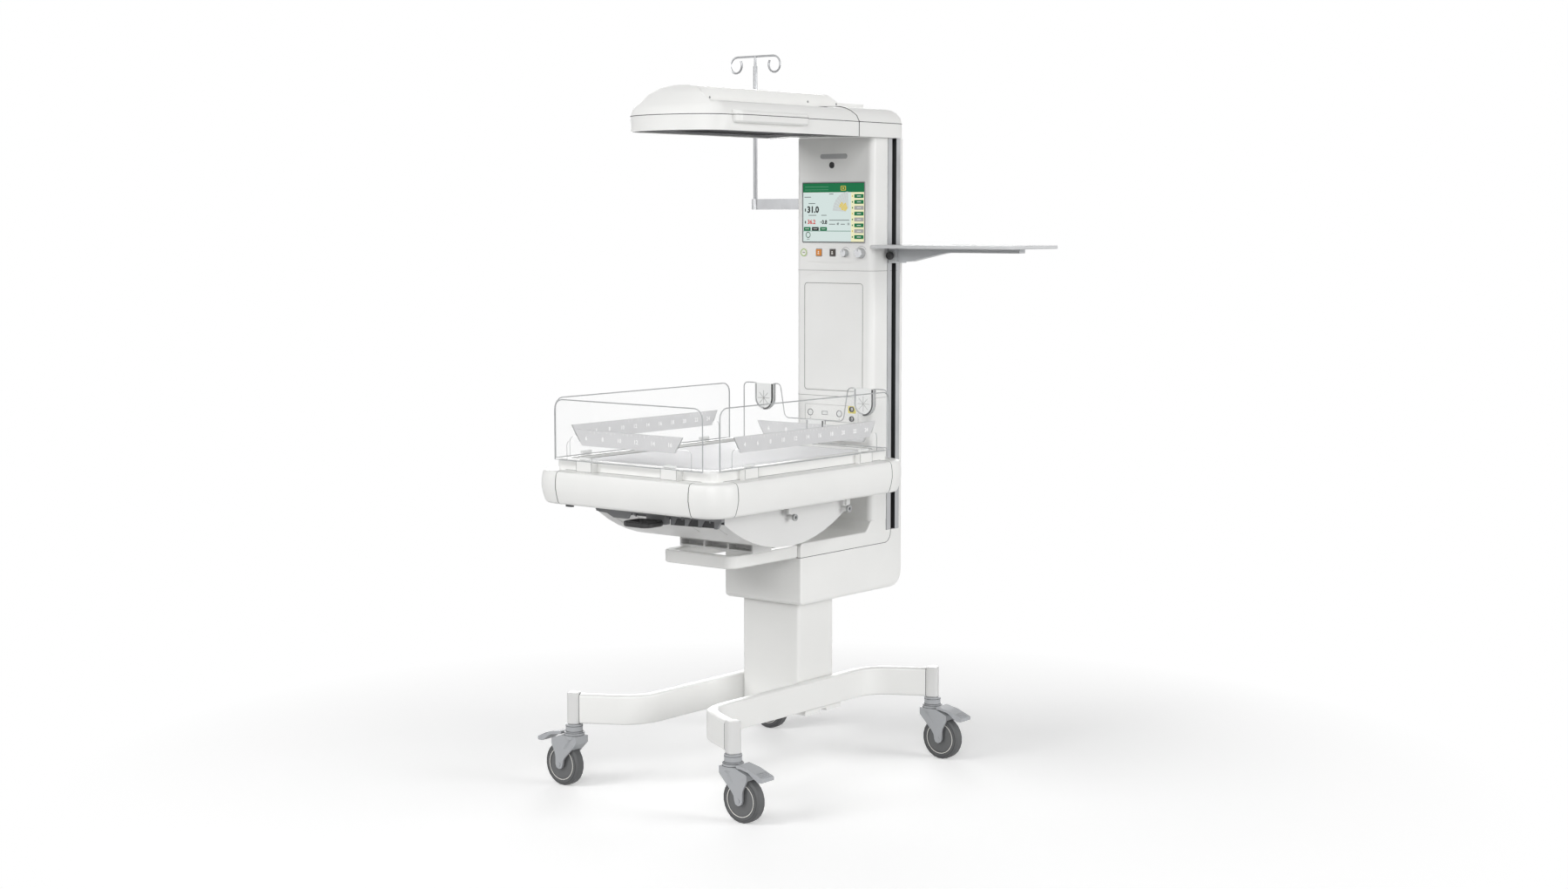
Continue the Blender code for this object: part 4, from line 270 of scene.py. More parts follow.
EDGE = moulded("polished_edge", linear(184, 186, 187), 0.3, 900.0, 0.05)
# Grey of the cross frame's ribs, darkened as painted shade for the shade under the bumper
SHADED_FRAME_GREY = coated("frame_grey_painted_shade", linear(132, 133, 135))
RUBBER = moulded("black_rubber", linear(40, 40, 41), 0.62, 800.0, 0.3)
SILICONE = moulded("white_silicone", linear(236, 237, 236), 0.55, 600.0, 0.15)
ALLOY = brushed("anodised_alloy", linear(186, 187, 189), 0.34)
ARM_ALLOY = smooth_coated("shelf_alloy", linear(206, 208, 210), 0.42)
STEEL = brushed("bright_steel", linear(188, 189, 191), 0.26)
POLE = brushed("satin_steel", linear(158, 159, 161), 0.42)
SHELF_COAT = smooth_coated("pale_shelf_coat", linear(218, 219, 220), specular=0.1)
MIRROR = brushed("polished_sheet", linear(225, 226, 228), 0.12, DRAWN_BACK)
SILVER = brushed("turned_silver", linear(205, 206, 208), 0.3, DRAWN_BACK)
SCREW = moulded("grey_screw_cap", linear(150, 151, 152), 0.4)
LENS = moulded("grey_lens", linear(176, 177, 178), 0.25)
RING_GREEN = moulded("green_ring", linear(166, 196, 106), 0.35)
CAP_WHITE = moulded("button_cap", linear(243, 243, 236), 0.35)
ORANGE = moulded("orange_cap", linear(222, 138, 52), 0.35)
BROWN = moulded("dark_cap", linear(66, 58, 52), 0.35)
YELLOW = moulded("yellow_surround", linear(238, 222, 96), 0.45)
MARK = moulded("pale_mark", linear(246, 244, 238), 0.5)
STRIP_MARK = moulded("white_scale_mark", linear(252, 252, 252), 0.5)


def legs_look():
    """White powder coat with pale grey end caps beyond a dark joint line."""
    look = coated("leg_coat", linear(240, 240, 238), specular=0.2)
    splay = math.radians(28.5)
    stem_x = 0.295
    stem_y = abs(centre("caster_fork_front_right").y - MID_Y)
    line_start, cap_start, line_end = -0.0200, -0.0182, -0.0178
    x, y = look.axes()[:2]
    out_x = look.math("SUBTRACT", look.away(x, MID_X), stem_x)
    out_y = look.math("SUBTRACT", look.away(y, MID_Y), stem_y)
    along = look.math("ADD", look.math("MULTIPLY", out_x, math.cos(splay)),
                      look.math("MULTIPLY", out_y, math.sin(splay)))
    look.paint(look.math("GREATER_THAN", along, cap_start), linear(220, 220, 219))
    line = look.math("MULTIPLY", look.math("GREATER_THAN", along, line_start),
                     look.math("LESS_THAN", along, line_end))
    look.paint(line, linear(120, 120, 120))
    return look


SKIN = 0.0006


def cradle_look():
    """Grey powder coat with painted shade at the front under the bumper: darkest on the cross frame's front
    face, dark grey ahead of it.
    """
    look = coated("cradle_coat_painted_shade", CRADLE_GREY)
    y = look.axes()[1]
    front = MID_Y - 0.429
    # Painted shade: the band at the cross frame's front face, then all that lies ahead of it
    look.paint(look.math("LESS_THAN", y, front + SKIN), linear(84, 85, 87))
    look.paint(look.math("LESS_THAN", y, front - SKIN), linear(138, 139, 141))
    return look


def rail_look(name, node):
    """Anodised rail whose slot is painted dark and dull inside, as painted shade in the recess."""
    look = brushed(name, linear(176, 177, 179), 0.34)
    x, y = look.axes()[:2]
    low, high = box(node)
    face = max(abs(low.x - MID_X), abs(high.x - MID_X))
    slot_half = 0.0187
    # Painted shade: the inside of the slot is darkened and not metallic
    inside = look.math("LESS_THAN", look.away(x, MID_X), face - SKIN)
    near = look.math("LESS_THAN", look.away(y, (low.y + high.y) / 2), slot_half)
    slot = look.math("MULTIPLY", inside, near)
    look.paint(slot, linear(66, 67, 69))
    look.set("Metallic", look.math("SUBTRACT", 1.0, slot))
    return look


def wheel_look(name, node):
    """Dark grey tyre and a smoother, slightly lighter hub disc."""
    look = moulded(name, linear(88, 89, 90), 0.6, 700.0, 0.25)
    x, _, z = look.axes()
    middle = centre(node)
    hub_radius = 0.0415
    side_x = look.math("POWER", look.math("SUBTRACT", x, middle.x), 2.0)
    side_z = look.math("POWER", look.math("SUBTRACT", z, middle.z), 2.0)
    radius = look.math("SQRT", look.math("ADD", side_x, side_z))
    hub = look.math("LESS_THAN", radius, hub_radius)
    look.paint(hub, linear(98, 99, 100))
    look.set("Roughness", look.span(hub, 0.62, 0.42, 0.0, 1.0))
    return look


def fabric_look():
    """Coated mattress cover with a fine plain weave."""
    look = Look("mattress_cover", linear(249, 249, 250), 0.62)
    waves = []
    for direction in ("X", "Y"):
        wave = look.node("ShaderNodeTexWave", {"bands_direction": direction},
                         Vector=look.place, Scale=320.0, Distortion=0.6)
        waves.append(wave.outputs["Fac"])
    weave = look.math("MULTIPLY", *waves)
    look.set("Base Color", look.mix(weave, linear(244, 244, 246), linear(251, 251, 252)))
    creases = look.noise(14.0, detail=4.0)
    look.bump(look.math("MULTIPLY_ADD", creases, 6.0, weave), strength=0.18, distance=0.0004)
    look.set("Sheen Weight", 0.15)
    return look


def strip_look():
    """Grey translucent scale strip, slightly mottled."""
    look = Look("scale_strip", linear(228, 228, 229), 0.5, specular=0.2)
    look.tint(amount=0.04, scale=18.0)
    look.worn(amount=0.05, scale=40.0)
    look.set("Alpha", 0.85)
    return look


def dress(look, *names):
    """Give CAD nodes a material."""
    for name in names:
        node = NODES[name]
        if not node.material_slots:
            node.data.materials.append(look.material)
        for slot in node.material_slots:
            slot.material = look.material


dress(legs_look(), "left_leg", "right_leg")
dress(COAT, "base_plate", "column_outer", "support_arm")
dress(SHELF_COAT, "shelf_plate")
dress(cradle_look(), "cradle")
dress(CRADLE_COAT, "tilt_bracket")
dress(WHITE, "housing_lower", "housing_upper", "tower_spine", "tower_lower_panel", "tower_door")
dress(WHITE, "control_panel", "connector_panel", "bed_tray")
dress(WARM, "hood_pivot", "hood_shell", "hood_cover", "bumper")
dress(DARK, "hood_base", "sensor_eye")
dress(ALLOY, "column_inner", "pole_bracket")
dress(ARM_ALLOY, "shelf_bracket")
dress(POLE, "pole_tube", "pole_hook")
dress(STEEL, "heater_tube")
dress(HEAT_BLACK, "heater_guard")
dress(MIRROR, "reflector")
dress(BLACK, "tilt_handle", "shelf_knob", "display")
dress(LENS, "status_lamp")
dress(CAP_WHITE, "button_start")
dress(ORANGE, "button_alarm")
dress(BROWN, "button_heat")
dress(SILVER, "knob_small", "knob_large")
dress(SILICONE, "grommet_left", "grommet_right")
dress(acrylic("acrylic_side", "X"), "panel_left", "panel_right")
dress(acrylic("acrylic_end", "Y"), "panel_front", "panel_rear")
for hand in ("left", "right"):
    dress(rail_look("rail_" + hand, "side_rail_" + hand), "side_rail_" + hand)
for corner in CORNERS:
    dress(wheel_look("wheel_" + corner, "caster_wheel_" + corner), "caster_wheel_" + corner)
    dress(FORK, "caster_fork_" + corner, "caster_pedal_" + corner)


# Smooth shading of the CAD nodes, whose own meshes stay as they are

JOIN_REACH = 0.00002
CAD_SHARP = math.radians(38.0)


def smoothing_tree():
    """Modifier that joins a node's loose triangles, smooths them and keeps the steep edges sharp."""
    tree = bpy.data.node_groups.new("join_and_smooth", "GeometryNodeTree")
    for way in ("INPUT", "OUTPUT"):
        tree.interface.new_socket("Geometry", in_out=way, socket_type="NodeSocketGeometry")
    nodes = Nodes(tree)
    loose = nodes.node("NodeGroupInput").outputs[0]
    joined = nodes.node("GeometryNodeMergeByDistance", Geometry=loose, Distance=JOIN_REACH).outputs[0]
    soft = nodes.node("GeometryNodeSetShadeSmooth", Geometry=joined).outputs[0]
    angle = nodes.node("GeometryNodeInputMeshEdgeAngle").outputs["Unsigned Angle"]
    steep = nodes.node("FunctionNodeCompare", {"operation": "GREATER_THAN"}, A=angle, B=CAD_SHARP)
    sharp = nodes.node("GeometryNodeSetShadeSmooth", {"domain": "EDGE"}, Geometry=soft,
                       Selection=steep.outputs["Result"], **{"Shade Smooth": False})
    nodes.node("NodeGroupOutput", Geometry=sharp.outputs[0])
    return tree


def smooth_nodes():
    """Every CAD node but the flat clear panels."""
    tree = smoothing_tree()
    for name, node in NODES.items():
        if not name.startswith("panel_"):
            node.modifiers.new("smooth", "NODES").node_group = tree
            node.modifiers.new("weighted", "WEIGHTED_NORMAL").keep_sharp = True


# Outlines, and places for them

PIECE_SHARP = math.radians(35.0)


def turns(count):
    """Cosine and sine of equal steps round a circle."""
    angles = [2 * math.pi * step / count for step in range(count)]
    return [(math.cos(angle), math.sin(angle)) for angle in angles]


def arc(a, b, radius, start, end, steps):
    """Points along an arc, from one angle in degrees to another."""
    points = []
    for step in range(steps + 1):
        turn = math.radians(start + (end - start) * step / steps)
        points.append((a + radius * math.cos(turn), b + radius * math.sin(turn)))
    return points


def rounded(a0, a1, b0, b1, radius, steps=4):
    """Outline of a rounded rectangle."""
    points = []
    for a, b, start in ((a1 - radius, b1 - radius, 0), (a0 + radius, b1 - radius, 90),
                        (a0 + radius, b0 + radius, 180), (a1 - radius, b0 + radius, 270)):
        points += arc(a, b, radius, start, start + 90, steps)
    return points


def disc(a, b, radius, sides):
    """Outline of a circle."""
    return [(a + radius * c, b + radius * s) for c, s in turns(sides)]


def washer(outer, inner, low, high):
    """Profile of a flat ring."""
    return [(outer, low), (outer, high), (inner, high), (inner, low)]


def facing(axis, way, x, y, z):
    """A place on a face that looks along an axis: it turns (a, b, height) into a point."""
    if axis == "X":
        return lambda a, b, height: Vector((x + way * height, y + a, z + b))
    if axis == "Y":
        return lambda a, b, height: Vector((x + a, y + way * height, z + b))
    return lambda a, b, height: Vector((x + a, y + b, z + way * height))


def front_of(node):
    """A place in the middle of a CAD node's front face."""
    low, high = box(node)
    middle = (low + high) / 2
    return facing("Y", -1, middle.x, low.y, middle.z)


def lay(outline, place, height=0.0):
    return [place(a, b, height) for a, b in outline]


def lines(*paths):
    """Open runs of points, to be drawn."""
    return [(path, False) for path in paths]


def loops(*paths):
    """Closed runs of points, to be drawn."""
    return [(path, True) for path in paths]


# Building pieces


def link(name, data):
    """A new object in the scene."""
    made = bpy.data.objects.new(name, data)
    bpy.context.scene.collection.objects.link(made)
    return made


def mesh_from(name, bm):
    mesh = bpy.data.meshes.new(name)
    bm.to_mesh(mesh)
    bm.free()
    return mesh


def piece(name, bm, body, look):
    """A mesh object that rides on a body."""
    bmesh.ops.recalc_face_normals(bm, faces=bm.faces)
    mesh = mesh_from(name, bm)
    made = link(name, mesh)
    mesh.materials.append(look.material)
    mesh.shade_smooth()
    mesh.set_sharp_from_angle(angle=PIECE_SHARP)
    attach(made, body)
    return made


def skin(bm, rings, closed):
    """Faces from each ring of vertices to the next one."""
    following = rings[1:] + rings[:1] if closed else rings[1:]
    for first, second in zip(rings, following):
        for side in range(len(first)):
            after = (side + 1) % len(first)
            bm.faces.new((first[side], first[after], second[after], second[side]))


def tube_into(bm, path, radius, sides=6, closed=False, up=ALONG_Z):
    """A round tube along points, added to a bmesh; up is square to most of its path."""
    rings = []
    count = len(path)
    for index, point in enumerate(path):
        before = path[index - 1] if index or closed else point
        after = path[(index + 1) % count] if index < count - 1 or closed else point
        along = (after - before).normalized()
        across = along.cross(Vector(up))
        if across.length < 0.01:
            across = along.cross(Vector(ALONG_X))
        across.normalize()
        other = along.cross(across)
        rings.append([bm.verts.new(point + (across * c + other * s) * radius) for c, s in turns(sides)])
    skin(bm, rings, closed)
    if not closed:
        bm.faces.new(rings[0])
        bm.faces.new(rings[-1])


def slab_into(bm, outline, low, high, place):
    """A flat outline raised from low to high."""
    rings = [[bm.verts.new(point) for point in lay(outline, place, height)] for height in (low, high)]
    for ring in rings:
        bm.faces.new(ring)
    skin(bm, rings, False)


def lathe_into(bm, profile, place, sides=28):
    """A closed profile of (radius, height) points turned about an axis."""
    rings = []
    for radius, height in profile:
        rings.append([bm.verts.new(place(radius * c, radius * s, height)) for c, s in turns(sides)])
    skin(bm, rings, True)


def plate(name, body, look, outline, low, high, place):
    """A piece of one slab."""
    bm = bmesh.new()
    slab_into(bm, outline, low, high, place)
    return piece(name, bm, body, look)


def draw(name, body, look, runs, radius, up=ALONG_Z, sides=6):
    """Thin tubes along runs of points, as one piece."""
    bm = bmesh.new()
    for points, closed in runs:
        tube_into(bm, points, radius, sides, closed, up)
    return piece(name, bm, body, look)


def figures_into(bm, text, size, matrix, depth, weight):
    """Figures drawn with the built-in font, thickened by a weight, and added to a bmesh."""
    curve = bpy.data.curves.new("figures", "FONT")
    curve.body = text
    curve.size = size
    curve.extrude = depth
    curve.offset = weight
    curve.resolution_u = 2
    curve.align_x = "CENTER"
    curve.align_y = "CENTER"
    holder = link("figures", curve)
    graph = bpy.context.evaluated_depsgraph_get()
    mesh = bpy.data.meshes.new_from_object(holder.evaluated_get(graph))
    mesh.transform(matrix)
    bm.from_mesh(mesh)
    bpy.data.objects.remove(holder, do_unlink=True)
    bpy.data.curves.remove(curve)
    bpy.data.meshes.remove(mesh)


# Lines that follow the CAD nodes

WELD = 0.000002
SHORTEST_STEP = 0.0005


def welded(node):
    """A bmesh of a CAD node with its split edges joined."""
    bm = bmesh.new()
    bm.from_mesh(NODES[node].data)
    bmesh.ops.remove_doubles(bm, verts=bm.verts, dist=WELD)
    return bm


def runs_of(edges):
    """Connected runs of edges as lists of points, each with whether it closes on itself."""
    places = {}
    ways = {}
    for edge in edges:
        first, second = edge.verts
        for vertex, other in ((first, second), (second, first)):
            places[vertex.index] = vertex.co.copy()
            ways.setdefault(vertex.index, []).append(other.index)
    runs = []
    used = set()
    for start in [key for key in ways if len(ways[key]) == 1] + list(ways):
        if start in used:
            continue
        run = [start]
        used.add(start)
        while True:
            following = [key for key in ways[run[-1]] if key not in used]
            if not following:
                break
            run.append(following[0])
            used.add(following[0])
        closed = len(run) > 2 and run[0] in ways[run[-1]]
        points = [places[run[0]]]
        for key in run[1:]:
            if (places[key] - points[-1]).length > SHORTEST_STEP:
                points.append(places[key])
        if len(points) > 1:
            runs.append((points, closed and len(points) > 2))
    return runs


def section(node, point, normal):
    """Runs of points where a plane cuts a CAD node, the longest first."""
    bm = welded(node)
    geometry = bm.verts[:] + bm.edges[:] + bm.faces[:]
    made = bmesh.ops.bisect_plane(bm, geom=geometry, plane_co=point, plane_no=normal)
    edges = [item for item in made["geom_cut"] if isinstance(item, bmesh.types.BMEdge)]
    bm.verts.index_update()
    runs = runs_of(edges)
    bm.free()
    return sorted(runs, key=lambda run: -sum((b - a).length for a, b in zip(run[0], run[0][1:])))


def rim(node, on_wall):
    """Runs of the edges that border the faces whose corners all pass a test."""
    bm = welded(node)
    bm.verts.index_update()
    edges = []
    for edge in bm.edges:
        walls = [all(on_wall(vertex.co) for vertex in face.verts) for face in edge.link_faces]
        if any(walls) and not all(walls):
            edges.append(edge)
    runs = runs_of(edges)
    bm.free()
    return runs


def build_seams():
    """Dark joint lines of the bumper, hood, tower covers and housing."""
    low, high = box("bumper")
    corner_reach = 0.095
    for axis, letter, normal in ((0, "x", ALONG_X), (1, "y", ALONG_Y)):
        for end, across in enumerate((low[axis] + corner_reach, high[axis] - corner_reach)):
            cut = section("bumper", Vector(normal) * across, normal)
            draw(f"bumper_seam_{letter}{end}", "bed", GAP_LINE, cut, 0.0018, normal)

    below = 0.0002
    level = Vector(ALONG_Z) * (box("hood_shell")[1].z - below)
    for name, body, node in (("hood_seam", "hood", "hood_shell"), ("pivot_seam", "lift", "hood_pivot")):
        draw(name, body, GAP_LINE, section(node, level, ALONG_Z)[:1], 0.0010)
    pivot = row(0.0, 0.400, 0.0)
    drum = math.hypot(0.166, 0.137)
    wall = rim("hood_pivot", lambda p: abs(math.hypot(p.x - pivot.x, p.y - pivot.y) - drum) < 0.0007)
    draw("swivel_seam", "lift", GAP_LINE, wall, 0.0013, (1.0, 0.3, 0.2))

    low, high = box("tower_door")
    for tag, z in (("low", low.z + below), ("high", high.z - below)):
        cut = section("tower_door", Vector(ALONG_Z) * z, ALONG_Z)
        draw("tower_seam_" + tag, "lift", SEAM, cut[:1], 0.0007)
    door = rounded(-0.110, 0.110, 1.100, 1.424, 0.010)
    door_place = facing("Y", 1, MID_X, low.y + 0.0004, 0.0)
    draw("door_outline", "lift", SEAM, loops(lay(door, door_place)), 0.0008, ALONG_Y)

    low, high = box("housing_lower")
    half = (high.x - low.x) / 2
    front = low.y
    seam_z = 0.6422
    seam_radius = 0.0008
    corner = 0.008
    bend = row(0.0, 0.430, 0.672)
    bend_radius = 0.030
    side_path = [(front + corner, seam_z), (bend.y, seam_z)]
    side_path += arc(bend.y, bend.z, bend_radius, -90, 0, 8)[1:]
    side_path.append((bend.y + bend_radius, high.z))
    for side in SIDES:
        path = lay(side_path, facing("X", 1, MID_X + side * half, 0.0, 0.0))
        draw(f"housing_seam_{side > 0:d}", "lift", GAP_LINE, lines(path), seam_radius, ALONG_X)
    across = arc(corner - half, front + corner, corner, 180, 270, 4)
    across += arc(half - corner, front + corner, corner, 270, 360, 4)
    path = lay(across, facing("Z", 1, MID_X, 0.0, seam_z))
    draw("housing_seam_front", "lift", GAP_LINE, lines(path), seam_radius)


# Display


def build_screen():
    """The lit picture: header, readings, gauge, tabs and a column of keys."""
    low, high = box("display")
    margin = 0.003
    wide = high.x - low.x - 2 * margin
    tall = high.z - low.z - 2 * margin
    layers = defaultdict(bmesh.new)

    def spot(across, down, lift):
        """A point given in shares of the picture's width and height."""
        return Vector((low.x + margin + across * wide, low.y - lift, high.z - margin - down * tall))

    def cover(layer, outline, lift):
        bm = layers[layer]
        bm.faces.new([bm.verts.new(spot(a, b, lift)) for a, b in outline])

    def patch(layer, level, x0, x1, y0, y1, radius=0.0):
        square = [(x0, y0), (x1, y0), (x1, y1), (x0, y1)]
        cover(layer, rounded(x0, x1, y0, y1, radius, 3) if radius else square, 0.0002 + 0.00012 * level)

    def sector(layer, pivot, inner, outer, start, end):
        """One step of a ring round a pivot."""
        outline = []
        for radius, turn in ((inner, start), (outer, start), (outer, end), (inner, end)):
            down = radius * math.sin(turn) * wide / tall
            outline.append((pivot[0] + radius * math.cos(turn), pivot[1] - down))
        cover(layer, outline, 0.0004)

    def figures(layer, text, size, across, down, weight=0.0003):
        place = Matrix.Translation(spot(across, down, 0.0007)) @ UPRIGHT
        figures_into(layers[layer], text, size, place, 0.00005, weight)

    patch("mint", 0, 0.0, 1.0, 0.0, 1.0)
    patch("green", 1, 0.0, 1.0, 0.0, 0.155)
    patch("leaf", 2, 0.03, 0.42, 0.058, 0.064)
    patch("leaf", 2, 0.03, 0.42, 0.108, 0.114)
    patch("sand", 2, 0.62, 0.705, 0.045, 0.125, 0.012)
    patch("green", 3, 0.632, 0.693, 0.057, 0.113, 0.008)
    patch("sand", 4, 0.650, 0.676, 0.070, 0.100, 0.006)
    patch("white", 1, 0.0, 0.79, 0.155, 0.165)
    for x0, x1, y in ((0.02, 0.13, 0.235), (0.43, 0.50, 0.185), (0.09, 0.20, 0.345), (0.09, 0.22, 0.548),
                      (0.30, 0.39, 0.548), (0.43, 0.76, 0.632), (0.43, 0.53, 0.700), (0.62, 0.69, 0.700)):
        patch("ink", 1, x0, x1, y - 0.005, y + 0.005)
    figures("ink", "31.0", 0.026, 0.165, 0.455, 0.0011)
    figures("red", "36.2", 0.0175, 0.14, 0.665, 0.0006)
    figures("ink", "0.8", 0.0165, 0.355, 0.668, 0.0006)
    figures("ink", "47", 0.0085, 0.575, 0.698)
    figures("ink", "12", 0.0085, 0.745, 0.698)
    patch("ink", 1, 0.028, 0.045, 0.43, 0.485, 0.006)
    patch("ink", 1, 0.028, 0.045, 0.645, 0.69, 0.006)
    patch("ink", 1, 0.28, 0.30, 0.66, 0.672)
    for x0, x1, layer in ((0.01, 0.125, "green"), (0.145, 0.26, "ink"), (0.28, 0.395, "green")):
        patch(layer, 2, x0, x1, 0.75, 0.812, 0.008)
        patch("white", 3, x0 + 0.025, x1 - 0.025, 0.778, 0.786)
    patch("line", 2, 0.0, 0.785, 0.812, 0.824)
    patch("pale", 1, 0.79, 1.0, 0.155, 1.0)
    for index, kind in enumerate(("green", "green", "grey", "green", "grey", "green", "grey", "green")):
        middle = 0.222 + 0.0995 * index
        patch(kind, 2, 0.842, 0.992, middle - 0.033, middle + 0.033, 0.008)
        patch("white", 3, 0.885, 0.95, middle - 0.005, middle + 0.005)
        patch("green" if index % 3 else "sand", 2, 0.803, 0.820, middle - 0.014, middle + 0.014, 0.006)

    # Fan gauge: grey steps round a pivot, the innermost ones yellow
    for ring in range(5):
        inner = 0.045 + 0.044 * ring
        for step in range(9):
            start = math.radians(92 + 9.4 * step + 1.2)
            end = math.radians(92 + 9.4 * (step + 1))
            warm = ring < 2 and 1 < step < 8 or ring == 2 and 3 < step < 7
            sector("sun" if warm else "mist", (0.752, 0.490), inner, inner + 0.0425, start, end)
    # Small dial in the lower left corner
    dial_steps = 20
    for step in range(dial_steps):
        start, end = [2 * math.pi * (step + share) / dial_steps for share in (0, 1)]
        sector("green" if step % 10 < 4 else "ink", (0.083, 0.885), 0.030, 0.040, start, end)
    patch("ink", 2, 0.060, 0.106, 0.955, 0.963)
    colours = {
        "mint": linear(226, 241, 238), "green": linear(0, 118, 70), "leaf": linear(110, 176, 140),
        "sand": linear(216, 196, 80), "white": linear(244, 248, 246), "ink": linear(28, 34, 32),
        "red": linear(214, 62, 58), "line": linear(120, 160, 146), "pale": linear(252, 249, 206),
        "grey": linear(172, 172, 170), "sun": linear(236, 210, 96), "mist": linear(214, 220, 219),
    }
    for name, bm in layers.items():
        piece("screen_" + name, bm, "lift", lit("screen_" + name, colours[name]))
    bezel = rounded(low.x, high.x, low.z, high.z, 0.003, 3)
    bezel_place = facing("Y", -1, 0.0, low.y, 0.0)
    draw("screen_bezel", "lift", LENS, loops(lay(bezel, bezel_place, 0.0002)), 0.0014, ALONG_Y)


# Controls and tower details

INLAY = (-0.0004, 0.0003)
THIN_INLAY = (-0.0002, 0.0003)


def build_controls():
    """Button rings, marks and surrounds, knob flutes, pointers and scales."""
    low, high = box("button_start")
    radius = (high.x - low.x) / 2
    place = front_of("button_start")
    bm = bmesh.new()
    lathe_into(bm, washer(radius * 0.93, radius * 0.74, -0.001, 0.0006), place)
    piece("button_start_ring", bm, "start_button", RING_GREEN)
    bar = rounded(-0.0045, 0.0045, -0.0009, 0.0009, 0.0008)
    plate("button_start_mark", "start_button", DARK_MARKS_AND_SHADE, bar, *INLAY, place)

    for node, body in (("button_alarm", "alarm_button"), ("button_heat", "heat_button")):
        low, high = box(node)
        middle = (low + high) / 2
        place = front_of(node)
        bm = bmesh.new()
        slab_into(bm, rounded(-0.0032, 0.0032, -0.0045, -0.0010, 0.0012), *INLAY, place)
        slab_into(bm, disc(0.0, 0.0026, 0.0022, 14), *INLAY, place)
        piece(node + "_mark", bm, body, MARK)
        half = (high.x - low.x) / 2 + 0.0016
        surround = lay(rounded(-half, half, -half, half, 0.002, 3),
                       facing("Y", 1, middle.x, high.y - 0.0058, middle.z))
        draw(node + "_surround", "lift", LENS, loops(surround), 0.0009, ALONG_Y)

    panel = box("control_panel")[0].y - 0.0001
    for node, body in (("knob_small", "small_knob"), ("knob_large", "large_knob")):
        low, high = box(node)
        middle = (low + high) / 2
        radius = (high.x - low.x) / 2
        length = high.y - low.y
        flutes = []
        for c, s in turns(22):
            out = Vector((c, 0.0, s)) * radius * 0.955
            start = Vector((middle.x, low.y + length * 0.10, middle.z)) + out
            flutes.append([start, start + Vector((0.0, length * 0.42, 0.0)) + out * 0.03])
        draw(node + "_flutes", body, SILVER, lines(*flutes), 0.0006, sides=5)
        pointer = rounded(-0.0007, 0.0007, radius * 0.30, radius * 0.82, 0.0006)
        plate(node + "_pointer", body, DARK_MARKS_AND_SHADE, pointer, *THIN_INLAY, front_of(node))
        scale = arc(0.0, 0.0, radius + 0.0045, 150, 30, 12)
        scale = lay(scale, facing("Y", 1, middle.x, panel, middle.z))
        draw(node + "_scale", "lift", LENS, lines(scale), 0.0007, sides=5)


def build_tower_details():
    """Sensor rings, lamp ribs, sockets and the edge of the connector panel."""
    place = front_of("sensor_eye")
    bm = bmesh.new()
    lathe_into(bm, [(0.0086, -0.001), (0.0086, 0.0012), (0.0064, 0.0012), (0.0052, -0.001)], place)
    lathe_into(bm, washer(0.0036, 0.0024, -0.001, 0.0010), place)
    piece("sensor_rings", bm, "lift", BLACK)

    low, high = box("status_lamp")
    inset, rim_gap, count = 0.010, 0.003, 17
    ribs = []
    for step in range(count):
        x = low.x + inset + (high.x - low.x - 2 * inset) * step / (count - 1)
        ribs.append([Vector((x, low.y, low.z + rim_gap)), Vector((x, low.y, high.z - rim_gap))])
    draw("lamp_ribs", "lift", LENS, lines(*ribs), 0.0006, sides=5)

    low, high = box("connector_panel")
    sunk = -0.0036
    row_z = 1.031
    pair_x = MID_X + 0.071
    pair_z = (1.047, 1.018)
    rings, discs, dark, steel = (bmesh.new() for _ in range(4))
    for x in (-0.087, 0.023):
        place = facing("Y", -1, MID_X + x, low.y, row_z)
        lathe_into(rings, [(0.0103, sunk), (0.0103, 0.0008), (0.0090, 0.0008), (0.0086, sunk)], place)
        lathe_into(discs, washer(0.0084, 0.0010, sunk, 0.0002), place, 16)
        slab_into(dark, disc(0.0, -0.0165, 0.0012, 10), *THIN_INLAY, place)
    place = facing("Y", -1, MID_X - 0.032, low.y, row_z)
    slab_into(discs, rounded(-0.0102, 0.0102, -0.0049, 0.0049, 0.001), sunk, -0.0006, place)
    edge = lay(rounded(-0.0104, 0.0104, -0.0051, 0.0051, 0.001), place, 0.0001)
    tube_into(rings, edge, 0.0006, 5, True, ALONG_Y)
    piece("socket_rings", rings, "lift", DARK_MARKS_AND_SHADE)
    piece("socket_discs", discs, "lift", SILICONE)
    for z in pair_z:
        place = facing("Y", -1, pair_x, low.y, z)
        lathe_into(dark, [(0.0083, sunk), (0.0083, 0.0040), (0.0062, 0.0046), (0.0050, 0.0020),
                          (0.0050, sunk)], place)
        lathe_into(steel, [(0.0048, -0.0030), (0.0048, 0.0010), (0.0010, 0.0014), (0.0010, -0.0030)],
                   place, 16)
    piece("socket_bodies", dark, "lift", BLACK)
    surround = rounded(-0.0145, 0.0145, -0.0125, 0.0095, 0.003)
    plate("socket_surround", "lift", YELLOW, surround, 0.0, 0.0006,
          facing("Y", -1, pair_x, low.y, pair_z[0]))
    piece("socket_pins", steel, "lift", SILVER)
    edge = lay(rounded(low.x, high.x, low.z, high.z, 0.004, 3), facing("Y", -1, 0.0, low.y, 0.0), 0.0001)
    draw("connector_edge", "lift", SEAM, loops(edge), 0.0005, ALONG_Y, 5)


# Hood and back details


def build_hood_details():
    """Screw caps on the sides of the ridge."""
    cap = [(0.0036, -0.004), (0.0036, 0.0004), (0.0024, 0.0012), (0.0005, 0.0012), (0.0005, -0.004)]
    ridge_half = 0.065
    bm = bmesh.new()
    for y, z in ((-0.288, 1.9475), (0.150, 1.9530), (0.286, 1.9510)):
        for side in SIDES:
            lathe_into(bm, cap, facing("X", side, *row(side * ridge_half, y, z)), 14)
    piece("hood_screw_caps", bm, "hood", SCREW)


